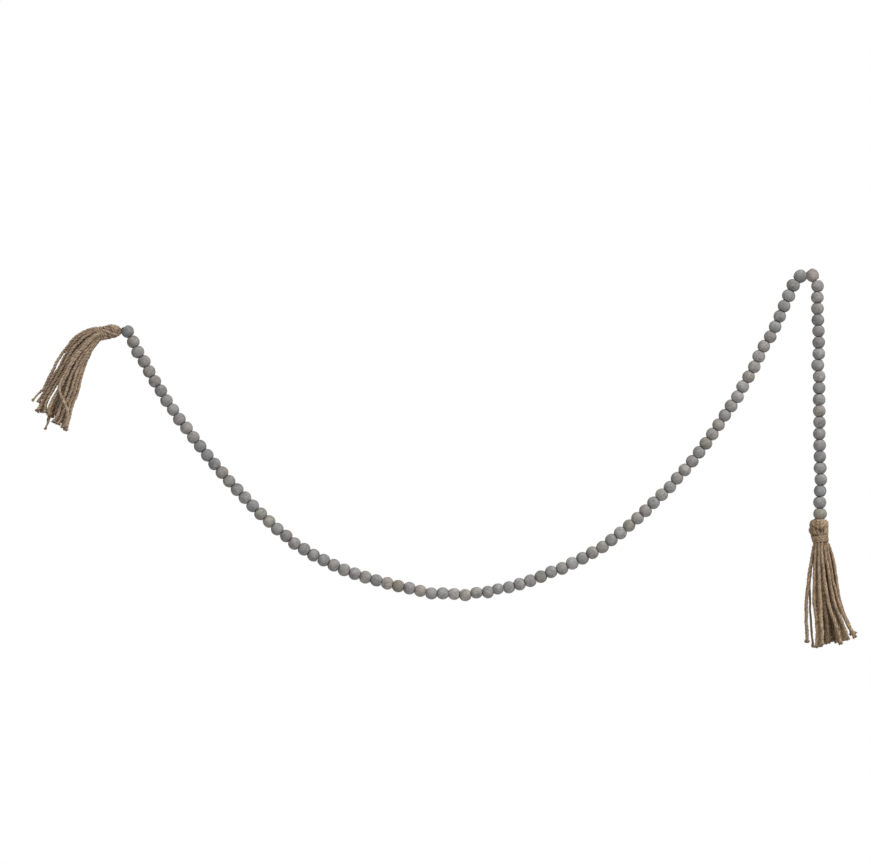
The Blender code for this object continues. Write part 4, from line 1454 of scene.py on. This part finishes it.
def make_binding(side_name, top, axis, material, seed, slant, radii, drift, twine_radius, tone):
    """Builds one tie: turns of twine side by side round the neck, its two ends tucked in."""
    side = Vector((-axis.z, 0, axis.x))
    back = Vector((0, 1, 0))
    pitch = BINDING_LENGTH / BINDING_TURNS
    total = TIE_STEPS * BINDING_TURNS
    points = []
    for k in range(-TUCK_STEPS, total + TUCK_STEPS + 1):
        angle = 2 * math.pi * k / TIE_STEPS + TIE_START
        tuck = TUCK_DEPTH * max(0, -k / TUCK_STEPS, (k - total) / TUCK_STEPS)
        ring = (radii[0] + (radii[1] - radii[0]) * k / total) * MM - tuck
        across = math.cos(angle) * ring
        down = BINDING_TOP + pitch * 0.5 + (BINDING_LENGTH - pitch) * min(max(k / total, 0), 1)
        down += slant * across
        across += (drift[0] + (drift[1] - drift[0]) * k / total) * MM
        points.append(top + axis * down + side * across + back * math.sin(angle) * ring)
    build = Build()
    rng = np.random.default_rng(seed)
    add_twine(build, points, twine_radius, rng, tone, wound=axis, **TIE_TWINE)
    hand_in(build, "twine_binding_" + side_name, material, "binding_" + side_name)


beads, cord_points = garland_layout()
spots = bead_places(beads)
make_beads(beads, spots)
make_string(beads[0][2], spots, cord_points[-1])

right_jute = jute("jute_right", *RIGHT_JUTE, contrast=0.88)
right_way = heading(DROP_ANGLE)
right_top = cord_points[-1] + right_way * GAP
make_right_tassel(right_top, right_way, right_jute)
make_binding("right", right_top, right_way, right_jute, **RIGHT_TIE)

left_jute = jute("jute", *LEFT_JUTE, contrast=0.78)
left_way = heading(LEFT_HEAD_ANGLE)
left_top = beads[0][2] + heading(LEFT_SEAT_ANGLE) * LEFT_SEAT
make_left_tassel(left_top, left_way, left_jute)
make_binding("left", left_top, left_way, left_jute, **LEFT_TIE)

# Floor, light and camera


def background(tree, strength):
    """Adds a white background."""
    node = tree.nodes.new("ShaderNodeBackground")
    node.inputs["Color"].default_value = (1, 1, 1, 1)
    node.inputs["Strength"].default_value = strength
    return node.outputs[0]


def area_light(name, place, size, energy):
    """Adds a soft square light aimed at the garland."""
    data = bpy.data.lights.new(name, "AREA")
    data.shape = "SQUARE"
    data.size = size
    data.energy = energy
    obj = link_object(name, data)
    obj.location = place
    obj.rotation_euler = (AIM - Vector(place)).to_track_quat("-Z", "Y").to_euler()
    obj.visible_camera = False


floor_mesh = bpy.data.meshes.new("floor")
angles = [2 * math.pi * k / FLOOR_SIDES for k in range(FLOOR_SIDES)]
ring = [(FLOOR_REACH * math.cos(a), FLOOR_REACH * math.sin(a), FLOOR_HEIGHT) for a in angles]
floor_mesh.from_pydata(ring, [], [list(range(FLOOR_SIDES))])
floor_mesh.materials.append(plain_floor())
floor = link_object("floor", floor_mesh)

world = bpy.data.worlds.new("studio")
bpy.context.scene.world = world
world.use_nodes = True
tree = world.node_tree
tree.nodes.clear()
output = tree.nodes.new("ShaderNodeOutputWorld")
path = tree.nodes.new("ShaderNodeLightPath")
mixed = tree.nodes.new("ShaderNodeMixShader")
tree.links.new(path.outputs["Is Camera Ray"], mixed.inputs[0])
tree.links.new(background(tree, WORLD_LIGHT), mixed.inputs[1])
tree.links.new(background(tree, WORLD_SHOWN), mixed.inputs[2])
tree.links.new(mixed.outputs[0], output.inputs["Surface"])

area_light("key", (1.6, -3.4, 3.6), 2.6, 150)
area_light("upper", (3.1, -2.8, 5.2), 3.2, 205)
area_light("fill", (-1.8, -4.5, 1.2), 3, 30)
area_light("behind", (-0.4, 5.2, 0.3), 3, 105)

camera_data = bpy.data.cameras.new("camera")
camera_data.lens = SENSOR * CAMERA_AWAY / VIEW_WIDTH
camera_data.sensor_width = SENSOR
camera = link_object("camera", camera_data)
camera.location = (CAMERA_X, -CAMERA_AWAY, CAMERA_Z)
camera.rotation_euler = (math.radians(90), 0, 0)
bpy.context.scene.camera = camera
bpy.context.scene.view_settings.view_transform = "Standard"
